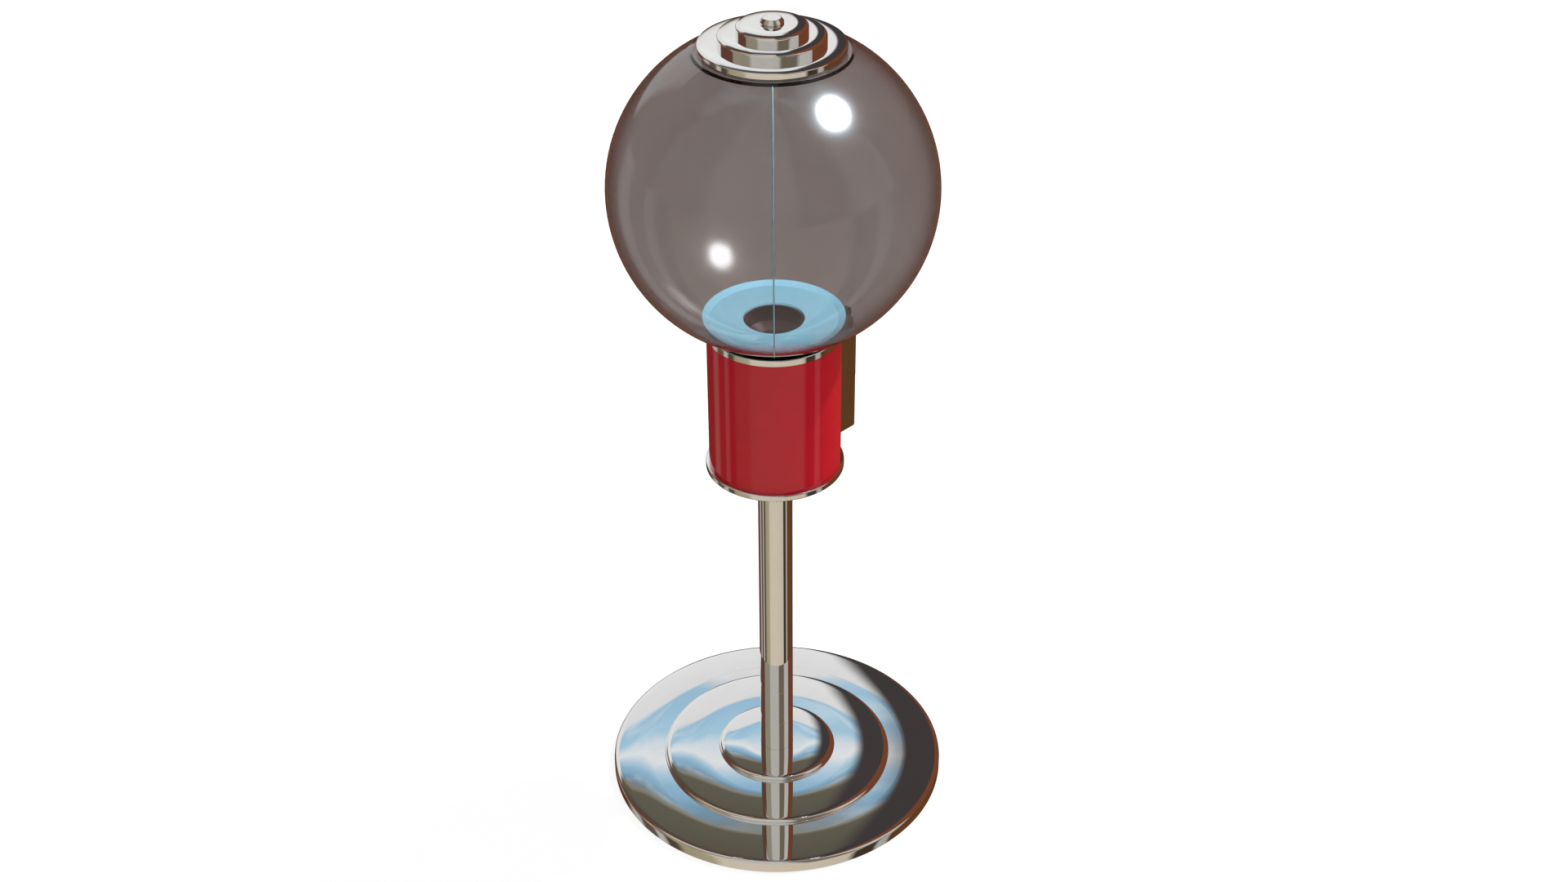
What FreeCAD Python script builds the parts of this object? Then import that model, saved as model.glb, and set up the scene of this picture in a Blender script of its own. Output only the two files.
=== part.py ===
"""Pedestal gumball machine: a clear globe on a red drum body, a pole and a stepped round base.

Millimetres, +Z up, origin on the floor under the pole, front towards -Y.
"""
import FreeCAD, Part
import math
import os
import re

import Sketcher

doc = FreeCAD.newDocument("gumball_machine")
sheet = doc.addObject("Spreadsheet::Sheet", "sizes")

# Driving sizes, one cell each.
SIZES = {
    # stepped base
    "base_radius": 160,
    "base_wall": 5,
    "low_step_top": 13.5,
    "mid_step_radius": 108.5,
    "mid_step_rise": 5,
    "top_step_radius": 55,
    "top_step_rise": 5,
    "crown_share": 0.43,
    "crown_bend": 1.2,
    "roll_share": 0.15,
    "roll_bend": 0.7,
    "base_roll_drop": 2,
    "base_edge_drop": 4.4,
    "base_edge_round": 3,
    "step_roll_drop": 1.6,
    "step_edge_drop": 3.4,
    "step_edge_round": 1.6,
    "base_boss_radius": 26,
    "socket_depth": 7,
    "socket_floor": 4,
    "rib_width": 4,
    "rib_count": 6,
    "fuse_bite": 1,
    "pad_radius": 11,
    "pad_height": 4,
    "pad_proud": 1,
    "pad_inset": 22,
    "pad_boss_rim": 2,
    # pole and the rod inside it
    "pole_radius": 15.875,
    "pole_wall": 1.6,
    "pole_length": 335,
    "slip_fit": 0.1,
    "rod_radius": 5,
    "rod_play": 0.5,
    "rod_end": 2.5,
    "washer_radius": 11,
    "washer_thickness": 2,
    "rod_nut_width": 17,
    "rod_nut_height": 8,
    "thread_gap": 0.05,
    "slot_width": 1,
    "slot_depth": 0.9,
    # red body between two chrome ends
    "flange_overhang": 3.2,
    "flange_thickness": 6,
    "flange_round": 1.2,
    "hub_radius": 24,
    "hub_height": 14,
    "hub_roof": 2,
    "hub_round": 4,
    "body_wall": 2,
    "spigot_height": 4,
    "spigot_wall": 4,
    "collar_overhang": 0.6,
    "collar_height": 6,
    "collar_round": 0.8,
    "bulkhead": 4,
    "stay_room": 10.1,
    "stay_y": 16,
    "stay_edge": 6,
    "stay_wall_gap": 5.38,
    "stay_radius": 2.5,
    "stay_head_radius": 4.5,
    "stay_head_height": 3,
    "stay_boss_radius": 5,
    "stay_boss_height": 8,
    "stay_nut_width": 8,
    "stay_nut_height": 4,
    "bolt_play": 0.2,
    # globe and its seat
    "globe_radius": 140,
    "globe_wall": 2,
    "seam_gap": 0.04,
    "globe_foot_radius": 52.9,
    "globe_mouth_radius": 64.2,
    "mouth_lip": 3,
    "mouth_lip_width": 8.2,
    "gasket_thickness": 1.6,
    "gasket_width": 8,
    "gasket_inset": 1.6,
    "plate_margin": 3.4,
    "plate_lip": 6.2,
    "plate_gauge": 1.2,
    "plate_gap": 0.2,
    "throat_radius": 26.9,
    "throat_wall": 4.6,
    "throat_play": 0.5,
    "throat_nut_radius": 39,
    "throat_nut_height": 6,
    "throat_nut_notch": 6,
    "throat_nut_notch_depth": 2.5,
    "seal_width": 6,
    "seal_gap": 0.05,
    # lid
    "lid_inset": 3.2,
    "lid_wall": 2,
    "lid_skirt": 0.6,
    "lid_skirt_gap": 0.3,
    "lid_gasket_thickness": 1.2,
    "lid_low_rise": 7.5,
    "lid_step_rise": 8,
    "lid_mid_radius": 44.5,
    "lid_top_radius": 29.5,
    "lid_corner": 3.4,
    "lid_roll_drop": 0.75,
    "lid_edge_drop": 2,
    "lid_edge_round": 1.4,
    "rim_roll_drop": 0.6,
    "rim_edge_drop": 1.3,
    "rim_edge_round": 0.9,
    "lid_play": 0.8,
    "lid_spigot_wall": 2,
    "lid_spigot_depth": 6,
    "knob_height": 4.5,
    "knob_foot_radius": 8.4,
    "knob_head_radius": 10,
    "knob_head_rise": 1.1,
    "knob_head_round": 0.5,
    "knob_top_radius": 7.5,
    "knob_top_round": 0.8,
    "knob_screw_radius": 2.5,
    "knob_screw_grip": 3.2,
    "knob_screw_head_radius": 4.5,
    "knob_screw_head_height": 3,
    # drum that takes one ball from the throat at each turn
    "case_gap": 1,
    "shaft_radius": 4,
    "shaft_play": 0.04,
    "drum_radius": 31,
    "drum_length": 44,
    "drum_play": 0.4,
    "drum_end_play": 0.5,
    "drum_case_wall": 2.5,
    "drum_case_end": 3,
    "pocket_radius": 12.5,
    "pocket_floor": 6,
    "pocket_round": 9,
    "ear_thickness": 4,
    "funnel_wall": 2,
    "funnel_gap": 0.4,
    "funnel_drop": 2,
    "funnel_rise": 5.5,
    "neck_radius": 16,
    "exit_half": 14.5,
    "bush_radius": 7,
    "bush_flange_radius": 9,
    "bush_flange": 1.5,
    "press_gap": 0.02,
    "pin_radius": 1.5,
    "pin_half_length": 12,
    "pin_place": 18,
    "clip_radius": 7.5,
    "clip_thickness": 1,
    "clip_groove_depth": 0.8,
    "clip_gap": 0.3,
    "shaft_tail": 1.5,
    # chrome housing on the front of the body
    "housing_front": 74,
    "housing_back": 38,
    "housing_rise": 16.6,
    "housing_wall": 3,
    "housing_round": 6,
    "housing_fit": 0.3,
    "tab_screw_side": 6.5,
    "tab_screw_back": 6,
    "tab_post_radius": 5,
    "tab_screw_radius": 2,
    "tab_screw_head_radius": 3.5,
    "tab_screw_head_height": 2.5,
    "tab_screw_grip": 8,
    "coin_plate_margin": 5,
    "coin_plate_lug_gap": 0.2,
    "coin_plate_thickness": 2,
    "coin_plate_round": 6,
    "dial_ring_radius": 22,
    "dial_ring_width": 3,
    "dial_ring_height": 0.8,
    "plate_screw_inset": 5,
    "plate_screw_radius": 1.5,
    "plate_screw_head_radius": 3,
    "plate_screw_head_height": 1.8,
    "plate_screw_round": 1.2,
    "coin_wheel_side": 2,
    "coin_wheel_room": 4.1,
    "coin_wheel_thickness": 4,
    "coin_wheel_gap": 0.6,
    "coin_half_width": 11,
    "coin_depth": 21.5,
    "coin_round": 9,
    "coin_slot_width": 3,
    # turn handle
    "handle_gap": 0.3,
    "handle_hub_radius": 11,
    "handle_hub_length": 10,
    "handle_half_length": 26,
    "handle_tip_half_width": 6.3,
    "handle_waist_half_width": 4.6,
    "handle_waist_place": 13,
    "handle_middle_half_width": 7.2,
    "handle_tip_round": 5,
    "handle_waist_round": 8,
    "handle_thickness": 9,
    "handle_edge_round": 1.6,
    "handle_roof": 3,
    "handle_screw_radius": 2,
    "handle_screw_grip": 10,
    "handle_screw_head_radius": 4,
    "handle_screw_head_height": 2.2,
    "handle_screw_round": 1.4,
    # outlet, flap and chute
    "outlet_half_width": 15.5,
    "outlet_sill": 5.5,
    "outlet_height": 29.5,
    "frame_width": 3,
    "frame_height": 2.1,
    "flap_gap": 0.3,
    "flap_thickness": 2,
    "flap_lip": 3,
    "flap_lip_height": 2,
    "flap_lip_round": 1.5,
    "flap_top_gap": 0.9,
    "hinge_inset": 0.6,
    "hinge_rise": 4,
    "knuckle_radius": 2.6,
    "knuckle_half_length": 9,
    "knuckle_gap": 0.4,
    "lug_reach": 16,
    "lug_round": 2.4,
    "hinge_pin_radius": 1.2,
    "hinge_pin_gap": 0.06,
    "hinge_pin_end": 1,
    "chute_wall": 2,
    "chute_side": 11.5,
    "chute_gap": 0.3,
    "chute_fall": 8,
    "chute_back": 17,
    "chute_leg_half_width": 6,
    "chute_leg_depth": 5,
}

for row, (alias, size) in enumerate(SIZES.items(), 1):
    sheet.set(f"A{row}", alias)
    sheet.set(f"B{row}", str(size))
    sheet.setAlias(f"B{row}", alias)
doc.recompute()

# Levels up the axis, each built on the one below it.
MID_STEP_TOP = "(low_step_top + mid_step_rise)"
TOP_STEP_TOP = f"({MID_STEP_TOP} + top_step_rise)"
PAD_CIRCLE = "(base_radius - pad_inset)"
POLE_FOOT = f"({TOP_STEP_TOP} - socket_depth)"
BOSS_BOTTOM = f"({POLE_FOOT} - socket_floor)"
POLE_HEAD = f"({POLE_FOOT} + pole_length)"
FLANGE_BOTTOM = f"({POLE_HEAD} + hub_roof)"
BODY_BOTTOM = f"({FLANGE_BOTTOM} + flange_thickness)"
HOUSING_BOTTOM = f"({BODY_BOTTOM} + housing_rise)"
OUTLET_BOTTOM = f"({HOUSING_BOTTOM} + outlet_sill)"
OUTLET_TOP = f"({OUTLET_BOTTOM} + outlet_height)"
CHUTE_ROOF = f"({OUTLET_TOP} + chute_wall)"
CASE_BORE = "(drum_radius + drum_play)"
CASE_RADIUS = f"({CASE_BORE} + drum_case_wall)"
SHAFT_Z = f"({CHUTE_ROOF} + case_gap + {CASE_RADIUS})"
CASE_TOP = f"({SHAFT_Z} + {CASE_RADIUS})"
THROAT_FOOT = f"({CASE_TOP} + funnel_rise)"
BULKHEAD_FLOOR = f"({THROAT_FOOT} + throat_nut_height)"
COLLAR_TOP = f"({BULKHEAD_FLOOR} + bulkhead)"
BODY_TOP = f"({COLLAR_TOP} - collar_height)"
GLOBE_FOOT = f"({COLLAR_TOP} + gasket_thickness)"
GLOBE_CENTRE = f"({GLOBE_FOOT} + sqrt(globe_radius ^ 2 - globe_foot_radius ^ 2))"
GLOBE_MOUTH = f"({GLOBE_CENTRE} + sqrt(globe_radius ^ 2 - globe_mouth_radius ^ 2))"
GLOBE_BORE = "(globe_radius - globe_wall)"
PLATE_FLAT = "(globe_foot_radius + plate_margin)"
PLATE_RIM = f"({PLATE_FLAT} + plate_lip)"
PLATE_UNDER = f"({GLOBE_CENTRE} - sqrt({GLOBE_BORE} ^ 2 - {PLATE_FLAT} ^ 2) + plate_gap)"
PLATE_TOP = f"({PLATE_UNDER} + plate_gauge)"
RIM_UNDER = f"({GLOBE_CENTRE} - sqrt({GLOBE_BORE} ^ 2 - {PLATE_RIM} ^ 2) + plate_gap)"
RIM_TOP = f"({RIM_UNDER} + plate_gauge)"
THROAT_OUTSIDE = "(throat_radius + throat_wall)"
MOUTH_BORE = "(globe_mouth_radius - mouth_lip_width)"
LID_RADIUS = "(globe_mouth_radius - lid_inset)"
LID_UNDER = f"({GLOBE_MOUTH} + lid_gasket_thickness)"
LID_LOW = f"({GLOBE_MOUTH} + lid_low_rise)"
LID_MID = f"({LID_LOW} + lid_step_rise)"
LID_TOP = f"({LID_MID} + lid_step_rise)"
LID_SPIGOT = f"({MOUTH_BORE} - lid_play)"
LID_SEAM = f"({LID_LOW} - lid_wall)"

# Sizes across, from the drum case outwards: bolts, red body and its chrome ends.
STAY_X = f"({CASE_RADIUS} + stay_room)"
EAR_REACH = f"({STAY_X} + stay_edge)"
EAR_HALF_LENGTH = "(stay_y + stay_edge)"
BODY_BORE = f"(sqrt({STAY_X} ^ 2 + stay_y ^ 2) + stay_boss_radius + stay_wall_gap)"
BODY_RADIUS = f"({BODY_BORE} + body_wall)"
FLANGE_RADIUS = f"({BODY_RADIUS} + flange_overhang)"
COLLAR_RADIUS = f"({BODY_RADIUS} + collar_overhang)"

# Sizes across the front, from the chute outwards: screws, housing, coin wheel and face plate.
CHUTE_HALF_WIDTH = "(outlet_half_width + chute_wall)"
TAB_X = f"({CHUTE_HALF_WIDTH} + tab_screw_side)"
TAB_Y = "(housing_back + tab_screw_back)"
ROOM_SIDE = f"({CHUTE_HALF_WIDTH} + chute_side)"
HOUSING_SIDE = f"({ROOM_SIDE} + housing_wall)"
COIN_WHEEL_RADIUS = f"({ROOM_SIDE} - coin_wheel_side)"
HOUSING_TOP = f"({SHAFT_Z} + {COIN_WHEEL_RADIUS} + coin_wheel_room + housing_wall)"
COIN_PLATE_SIDE = f"({HOUSING_SIDE} - coin_plate_margin)"

# Places along the drive shaft, measured from the axis towards the front.
CASE_INSIDE = "(drum_length / 2 + drum_end_play)"
CASE_END = f"({CASE_INSIDE} + drum_case_end)"
BUSH_BORE = "(shaft_radius + shaft_play)"
BUSH_BACK = f"({CASE_END} + bush_flange)"
CLIP_FRONT = f"({BUSH_BACK} + clip_gap)"
SHAFT_TAIL = f"({CLIP_FRONT} + clip_thickness + shaft_tail)"
HOUSING_INSIDE = "(housing_front - housing_wall)"
COIN_PLATE_FACE = "(housing_front + coin_plate_thickness)"
BUSH_FACE = f"({COIN_PLATE_FACE} + bush_flange)"
HANDLE_BACK = f"({BUSH_FACE} + handle_gap)"
BAR_BACK = f"({HANDLE_BACK} + handle_hub_length)"
BAR_FRONT = f"({BAR_BACK} + handle_thickness)"
SHAFT_NOSE = f"({BAR_FRONT} - handle_roof)"
COIN_WHEEL_FRONT = f"({HOUSING_INSIDE} - coin_wheel_gap)"
CHUTE_FRONT = f"({HOUSING_INSIDE} - chute_gap)"

# Flap in front of the outlet, and the hinge it hangs from.
FRAME_SIDE = "(outlet_half_width + frame_width)"
FRAME_TOP = f"({OUTLET_TOP} + frame_width)"
FLAP_FOOT = f"({OUTLET_BOTTOM} - frame_width)"
FLAP_BACK = "(housing_front + frame_height + flap_gap)"
FLAP_FRONT = f"({FLAP_BACK} + flap_thickness)"
HINGE_Y = f"({FLAP_BACK} + hinge_inset)"
HINGE_Z = f"({FRAME_TOP} + hinge_rise - flap_top_gap)"
FLAP_TOP = f"({HINGE_Z} - knuckle_radius - flap_top_gap)"
COIN_PLATE_HALF_HEIGHT = f"({SHAFT_Z} - {HINGE_Z} - knuckle_radius - coin_plate_lug_gap)"

UP = FreeCAD.Vector(0, 0, 1)


def formula(text):
    """A size formula with each name pointed at its cell."""
    return re.sub(r"\b([a-z_]+)\b(?!\()", r"sizes.\1", text)


def number(text):
    """The present value of a size formula."""
    return float(sheet.evalExpression(formula(text)))


def bind(item, **formulas):
    """Tie properties of an object to size formulas."""
    for name, text in formulas.items():
        item.setExpression(name, formula(text))


def place(item, x="0", y="0", z="0"):
    """Tie an object's position to size formulas."""
    for axis, text in zip("xyz", (x, y, z)):
        item.setExpression(f"Placement.Base.{axis}", formula(text))


# Parametric sketches and the features made from them.
def new_body(label):
    body = doc.addObject("PartDesign::Body", label)
    body.Label = label
    return body


def new_sketch(body, plane, along="0", up="0", out="0"):
    """A sketch on one of the body's own origin planes, moved by formulas."""
    sketch = body.newObject("Sketcher::SketchObject", f"{body.Name}_sketch")
    support = next(item for item in body.Origin.OriginFeatures if item.Role == plane)
    sketch.AttachmentSupport = (support, "")
    sketch.MapMode = "FlatFace"
    for axis, text in zip("xyz", (along, up, out)):
        sketch.setExpression(f"AttachmentOffset.Base.{axis}", formula(text))
    return sketch


def measured(kind, text, *where):
    """One measured constraint with the size formula that drives it."""
    return Sketcher.Constraint(kind, *where, number(text)), text


def at_point(item, end, across, up):
    """The two measured constraints that hold a point at its place."""
    return [measured("DistanceX", across, -1, 1, item, end), measured("DistanceY", up, -1, 1, item, end)]


def constrain(sketch, rules):
    """Add all constraints in one step, so that nothing drifts, and tie the measured ones to formulas."""
    first = sketch.ConstraintCount
    sketch.addConstraint([rule for rule, text in rules])
    for index, (rule, text) in enumerate(rules, first):
        if text:
            sketch.setExpression(f"Constraints[{index}]", formula(text))


def rounding(before, corner, after, radius):
    """A round in a corner: where it leaves one run and meets the next, its arc, and if it turns left."""
    back = (before - corner).normalize()
    on = (after - corner).normalize()
    half = back.getAngle(on) / 2
    reach = radius / math.tan(half)
    leaves = corner + back * reach
    meets = corner + on * reach
    centre = corner + (back + on).normalize() * (radius / math.sin(half))
    left = back.cross(on).z < 0
    angles = [math.atan2(end.y - centre.y, end.x - centre.x) for end in (leaves, meets)]
    if not left:
        angles.reverse()
    return leaves, meets, Part.ArcOfCircle(Part.Circle(centre, UP, radius), *angles), left


def outline(sketch, corners):
    """Draw a closed outline; a corner is (across, up) or (across, up, radius) in size formulas."""
    points = [FreeCAD.Vector(number(corner[0]), number(corner[1]), 0) for corner in corners]
    count = len(corners)
    ends = []
    for i, corner in enumerate(corners):
        if len(corner) == 2:
            ends.append((points[i], points[i]))
        else:
            ends.append(rounding(points[i - 1], points[i], points[(i + 1) % count], number(corner[2])))
    runs = []
    for i in range(count):
        run = Part.LineSegment(ends[i][1], ends[(i + 1) % count][0])
        runs.append(sketch.addGeometry(run))
    rules = []
    for i, corner in enumerate(corners):
        before, after = runs[i - 1], runs[i]
        if len(corner) == 2:
            rules.append((Sketcher.Constraint("Coincident", before, 2, after, 1), None))
            rules += at_point(after, 1, corner[0], corner[1])
            continue
        arc = sketch.addGeometry(ends[i][2])
        first, last = (1, 2) if ends[i][3] else (2, 1)
        tip = sketch.addGeometry(Part.Point(points[i]), True)
        rules += [
            (Sketcher.Constraint("Tangent", before, 2, arc, first), None),
            (Sketcher.Constraint("Tangent", arc, last, after, 1), None),
            (Sketcher.Constraint("PointOnObject", tip, 1, before), None),
            (Sketcher.Constraint("PointOnObject", tip, 1, after), None),
            measured("Radius", corner[2], arc),
        ]
        rules += at_point(tip, 1, corner[0], corner[1])
    constrain(sketch, rules)
    return sketch


def rectangle(sketch, left, bottom, right, top, radius=None):
    """A rectangle, with all four corners rounded if a radius is given."""
    tail = () if radius is None else (radius,)
    corners = [(left, bottom), (right, bottom), (right, top), (left, top)]
    return outline(sketch, [corner + tail for corner in corners])


def circles(sketch, places, *radii):
    """Circles of the given radii round each place."""
    rules = []
    for across, up in places:
        for radius in radii:
            centre = FreeCAD.Vector(number(across), number(up), 0)
            item = sketch.addGeometry(Part.Circle(centre, UP, number(radius)))
            rules.append(measured("Radius", radius, item))
            rules += at_point(item, 3, across, up)
    constrain(sketch, rules)
    return sketch


def feature(body, kind, sketch, **settings):
    """Add a feature made from a sketch, and note the body's volume before it."""
    before = body.Shape.Volume if body.Tip else 0
    item = body.newObject(f"PartDesign::{kind}", f"{body.Name}_{kind.lower()}")
    item.Profile = sketch
    for name, value in settings.items():
        setattr(item, name, value)
    return item, before


def settle(body, item, before, adds):
    """Recompute, and make sure that the feature changed the body's volume the right way."""
    doc.recompute()
    gain = body.Shape.Volume - before
    if not (gain > 0 if adds else gain < 0):
        raise RuntimeError(f"{item.Name} changed the volume of {body.Label} by {gain}")
    return item


def pad(body, sketch, length, reverse=False, symmetric=False):
    side = "Symmetric" if symmetric else "One side"
    item, before = feature(body, "Pad", sketch, SideType=side, Reversed=reverse)
    bind(item, Length=length)
    return settle(body, item, before, adds=True)


def pocket(body, sketch, length, reverse=False, symmetric=False):
    side = "Symmetric" if symmetric else "One side"
    item, before = feature(body, "Pocket", sketch, SideType=side, Reversed=reverse)
    bind(item, Length=length)
    return settle(body, item, before, adds=False)


def revolve(body, sketch, axis="V_Axis", angle=360):
    item, before = feature(body, "Revolution", sketch, ReferenceAxis=(sketch, [axis]))
    item.Angle = angle
    item.Midplane = True
    return settle(body, item, before, adds=True)


def groove(body, sketch, axis="V_Axis"):
    item, before = feature(body, "Groove", sketch, ReferenceAxis=(sketch, [axis]))
    item.Angle = 360
    return settle(body, item, before, adds=False)


def ring_pattern(body, item, count):
    """Repeat a feature evenly round the upright axis."""
    axis = next(line for line in body.Origin.OriginFeatures if line.Role == "Z_Axis")
    pattern = body.newObject("PartDesign::PolarPattern", f"{body.Name}_pattern")
    pattern.Originals = [item]
    pattern.Axis = (axis, [""])
    pattern.Angle = 360
    bind(pattern, Occurrences=count)
    body.Tip = pattern
    doc.recompute()
    return pattern


def turned(label, corners):
    """A piece turned about the upright axis, from its section (radius, height)."""
    body = new_body(label)
    revolve(body, outline(new_sketch(body, "XZ_Plane"), corners))
    return body


def shaft_sketch(body):
    """A sketch in the upright plane through the shaft, with the shaft along its bottom line."""
    return new_sketch(body, "YZ_Plane", up=SHAFT_Z)


def turned_on_shaft(label, corners):
    body = new_body(label)
    revolve(body, outline(shaft_sketch(body), corners), "H_Axis")
    return body


# Plain solids and their joins.
def upright(name, radius, bottom, height, x="0", y="0"):
    item = doc.addObject("Part::Cylinder", name)
    bind(item, Radius=radius, Height=height)
    place(item, x, y, bottom)
    return item


def cut(label, base, tool):
    item = doc.addObject("Part::Cut", label)
    item.Label = label
    item.Base = base
    item.Tool = tool
    return item


def ring(label, inner, outer, bottom, height, x="0", y="0"):
    body = upright(f"{label}_outside", outer, bottom, height, x, y)
    hole = upright(f"{label}_hole", inner, bottom, height, x, y)
    return cut(label, body, hole)


def hex_nut(label, width, bore, bottom, height, x="0", y="0"):
    block = doc.addObject("Part::Prism", f"{label}_block")
    block.Polygon = 6
    bind(block, Circumradius=f"{width} / 2 / cos(30)", Height=height)
    place(block, x, y, bottom)
    return cut(label, block, upright(f"{label}_hole", bore, bottom, height, x, y))


def group(label, items):
    """Like pieces kept together as separate solids."""
    item = doc.addObject("Part::Compound", label)
    item.Label = label
    item.Links = items
    return item


def screw(label, radius, grip, head_radius, head_height, round_radius):
    """A slotted screw: the underside of its head is at the origin, with its shank below."""
    body = turned(label, [
        ("0", f"-({grip})"),
        (radius, f"-({grip})"),
        (radius, "0"),
        (head_radius, "0"),
        (head_radius, head_height, round_radius),
        ("0", head_height),
    ])
    slot = rectangle(new_sketch(body, "XY_Plane", out=head_height), f"-{head_radius}", "-slot_width / 2",
                     head_radius, "slot_width / 2")
    pocket(body, slot, "slot_depth")
    return body


def set_screw(label, model, x, y, z, turn):
    """One screw of a group, copied from its model to its seat and turned to point its shank."""
    item = doc.addObject("App::Link", label)
    item.LinkedObject = model
    item.Placement = FreeCAD.Placement(FreeCAD.Vector(), turn)
    place(item, x, y, z)
    return item


HEAD_DOWN = FreeCAD.Rotation(FreeCAD.Vector(1, 0, 0), 180)
HEAD_UP = FreeCAD.Rotation()
HEAD_FRONT = FreeCAD.Rotation(FreeCAD.Vector(1, 0, 0), 90)


def four_corners(across, up):
    return [(f"{a}({across})", f"{b}({up})") for a in ("", "-") for b in ("", "-")]


def stay_places():
    return four_corners(STAY_X, "stay_y")


def tab_places():
    return [(TAB_X, f"-{TAB_Y}"), (f"-{TAB_X}", f"-{TAB_Y}")]


def crowned_edge(kind, radius, foot_radius, top):
    """A step's rolled edge and crown, from its rim inwards; the next step stands at the foot radius."""
    ring = f"({radius} - {foot_radius})"
    roll = f"(roll_share * {ring})"
    crown = f"((crown_share - roll_share) * {ring})"
    roll_slope = f"(({kind}_edge_drop - {kind}_roll_drop) / {roll})"
    crown_slope = f"({kind}_roll_drop / {crown})"
    return [
        (radius, f"{top} - {kind}_edge_drop", f"{kind}_edge_round"),
        (f"{radius} - {roll}", f"{top} - {kind}_roll_drop",
         f"roll_bend * {roll} / ({roll_slope} - {crown_slope})"),
        (f"{radius} - {roll} - {crown}", top, f"crown_bend * {crown} / {crown_slope}"),
    ]


# Stepped base: a hollow casting with a rim, three mirror-flat steps, ribs and a socket for the pole.
def base_casting():
    under_top = f"({TOP_STEP_TOP} - base_wall)"
    under_mid = f"({MID_STEP_TOP} - base_wall)"
    under_low = "(low_step_top - base_wall)"
    rim_inside = "(base_radius - base_wall)"
    mid_inside = "(mid_step_radius - base_wall)"
    top_inside = "(top_step_radius - base_wall)"
    body = turned("base_casting", [
        ("base_radius", "pad_proud"),
        *crowned_edge("base", "base_radius", "mid_step_radius", "low_step_top"),
        ("mid_step_radius", "low_step_top"),
        *crowned_edge("step", "mid_step_radius", "top_step_radius", MID_STEP_TOP),
        ("top_step_radius", MID_STEP_TOP),
        *crowned_edge("step", "top_step_radius", "pole_radius", TOP_STEP_TOP),
        ("pole_radius + slip_fit", TOP_STEP_TOP),
        ("pole_radius + slip_fit", POLE_FOOT),
        ("rod_radius + rod_play", POLE_FOOT),
        ("rod_radius + rod_play", BOSS_BOTTOM),
        ("base_boss_radius", BOSS_BOTTOM),
        ("base_boss_radius", under_top),
        (top_inside, under_top),
        (top_inside, under_mid),
        (mid_inside, under_mid),
        (mid_inside, under_low),
        (rim_inside, under_low),
        (rim_inside, "pad_proud"),
    ])
    rib = outline(new_sketch(body, "XZ_Plane"), [
        ("base_boss_radius - fuse_bite", "pad_height"),
        (f"{rim_inside} + fuse_bite", "pad_height"),
        (f"{rim_inside} + fuse_bite", f"{under_low} + fuse_bite"),
        (f"{mid_inside} + fuse_bite", f"{under_low} + fuse_bite"),
        (f"{mid_inside} + fuse_bite", f"{under_mid} + fuse_bite"),
        (f"{top_inside} + fuse_bite", f"{under_mid} + fuse_bite"),
        (f"{top_inside} + fuse_bite", f"{under_top} + fuse_bite"),
        ("base_boss_radius - fuse_bite", f"{under_top} + fuse_bite"),
    ])
    ring_pattern(body, pad(body, rib, "rib_width", symmetric=True), "rib_count")
    boss = circles(new_sketch(body, "XY_Plane", out="pad_height"), [(PAD_CIRCLE, "0")],
                   "pad_radius + pad_boss_rim")
    ring_pattern(body, pad(body, boss, f"{under_low} + fuse_bite - pad_height"), "rib_count")
    return body


# Rubber pads under the ends of the ribs.
def base_pads():
    pads = []
    for i in range(SIZES["rib_count"]):
        turn = f"{i} * 360 / rib_count"
        pads.append(upright(f"pad_{i}", "pad_radius", "0", "pad_height",
                            f"{PAD_CIRCLE} * cos({turn})", f"{PAD_CIRCLE} * sin({turn})"))
    return group("base_pads", pads)


# Threaded rod that pulls the base, the pole and the body together, with a nut and washer at each end.
ROD_TOP = f"({BODY_BOTTOM} + washer_thickness + rod_nut_height + rod_end)"
LOWER_NUT = f"({BOSS_BOTTOM} - washer_thickness - rod_nut_height)"


def tie_rod_nuts():
    bore = "rod_radius + thread_gap"
    upper = f"{BODY_BOTTOM} + washer_thickness"
    return group("tie_rod_nuts", [
        hex_nut("lower_rod_nut", "rod_nut_width", bore, LOWER_NUT, "rod_nut_height"),
        hex_nut("upper_rod_nut", "rod_nut_width", bore, upper, "rod_nut_height"),
    ])


def tie_rod_washers():
    bore = "rod_radius + rod_play"
    lower = f"{BOSS_BOTTOM} - washer_thickness"
    return group("tie_rod_washers", [
        ring("lower_rod_washer", bore, "washer_radius", lower, "washer_thickness"),
        ring("upper_rod_washer", bore, "washer_radius", BODY_BOTTOM, "washer_thickness"),
    ])


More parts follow.
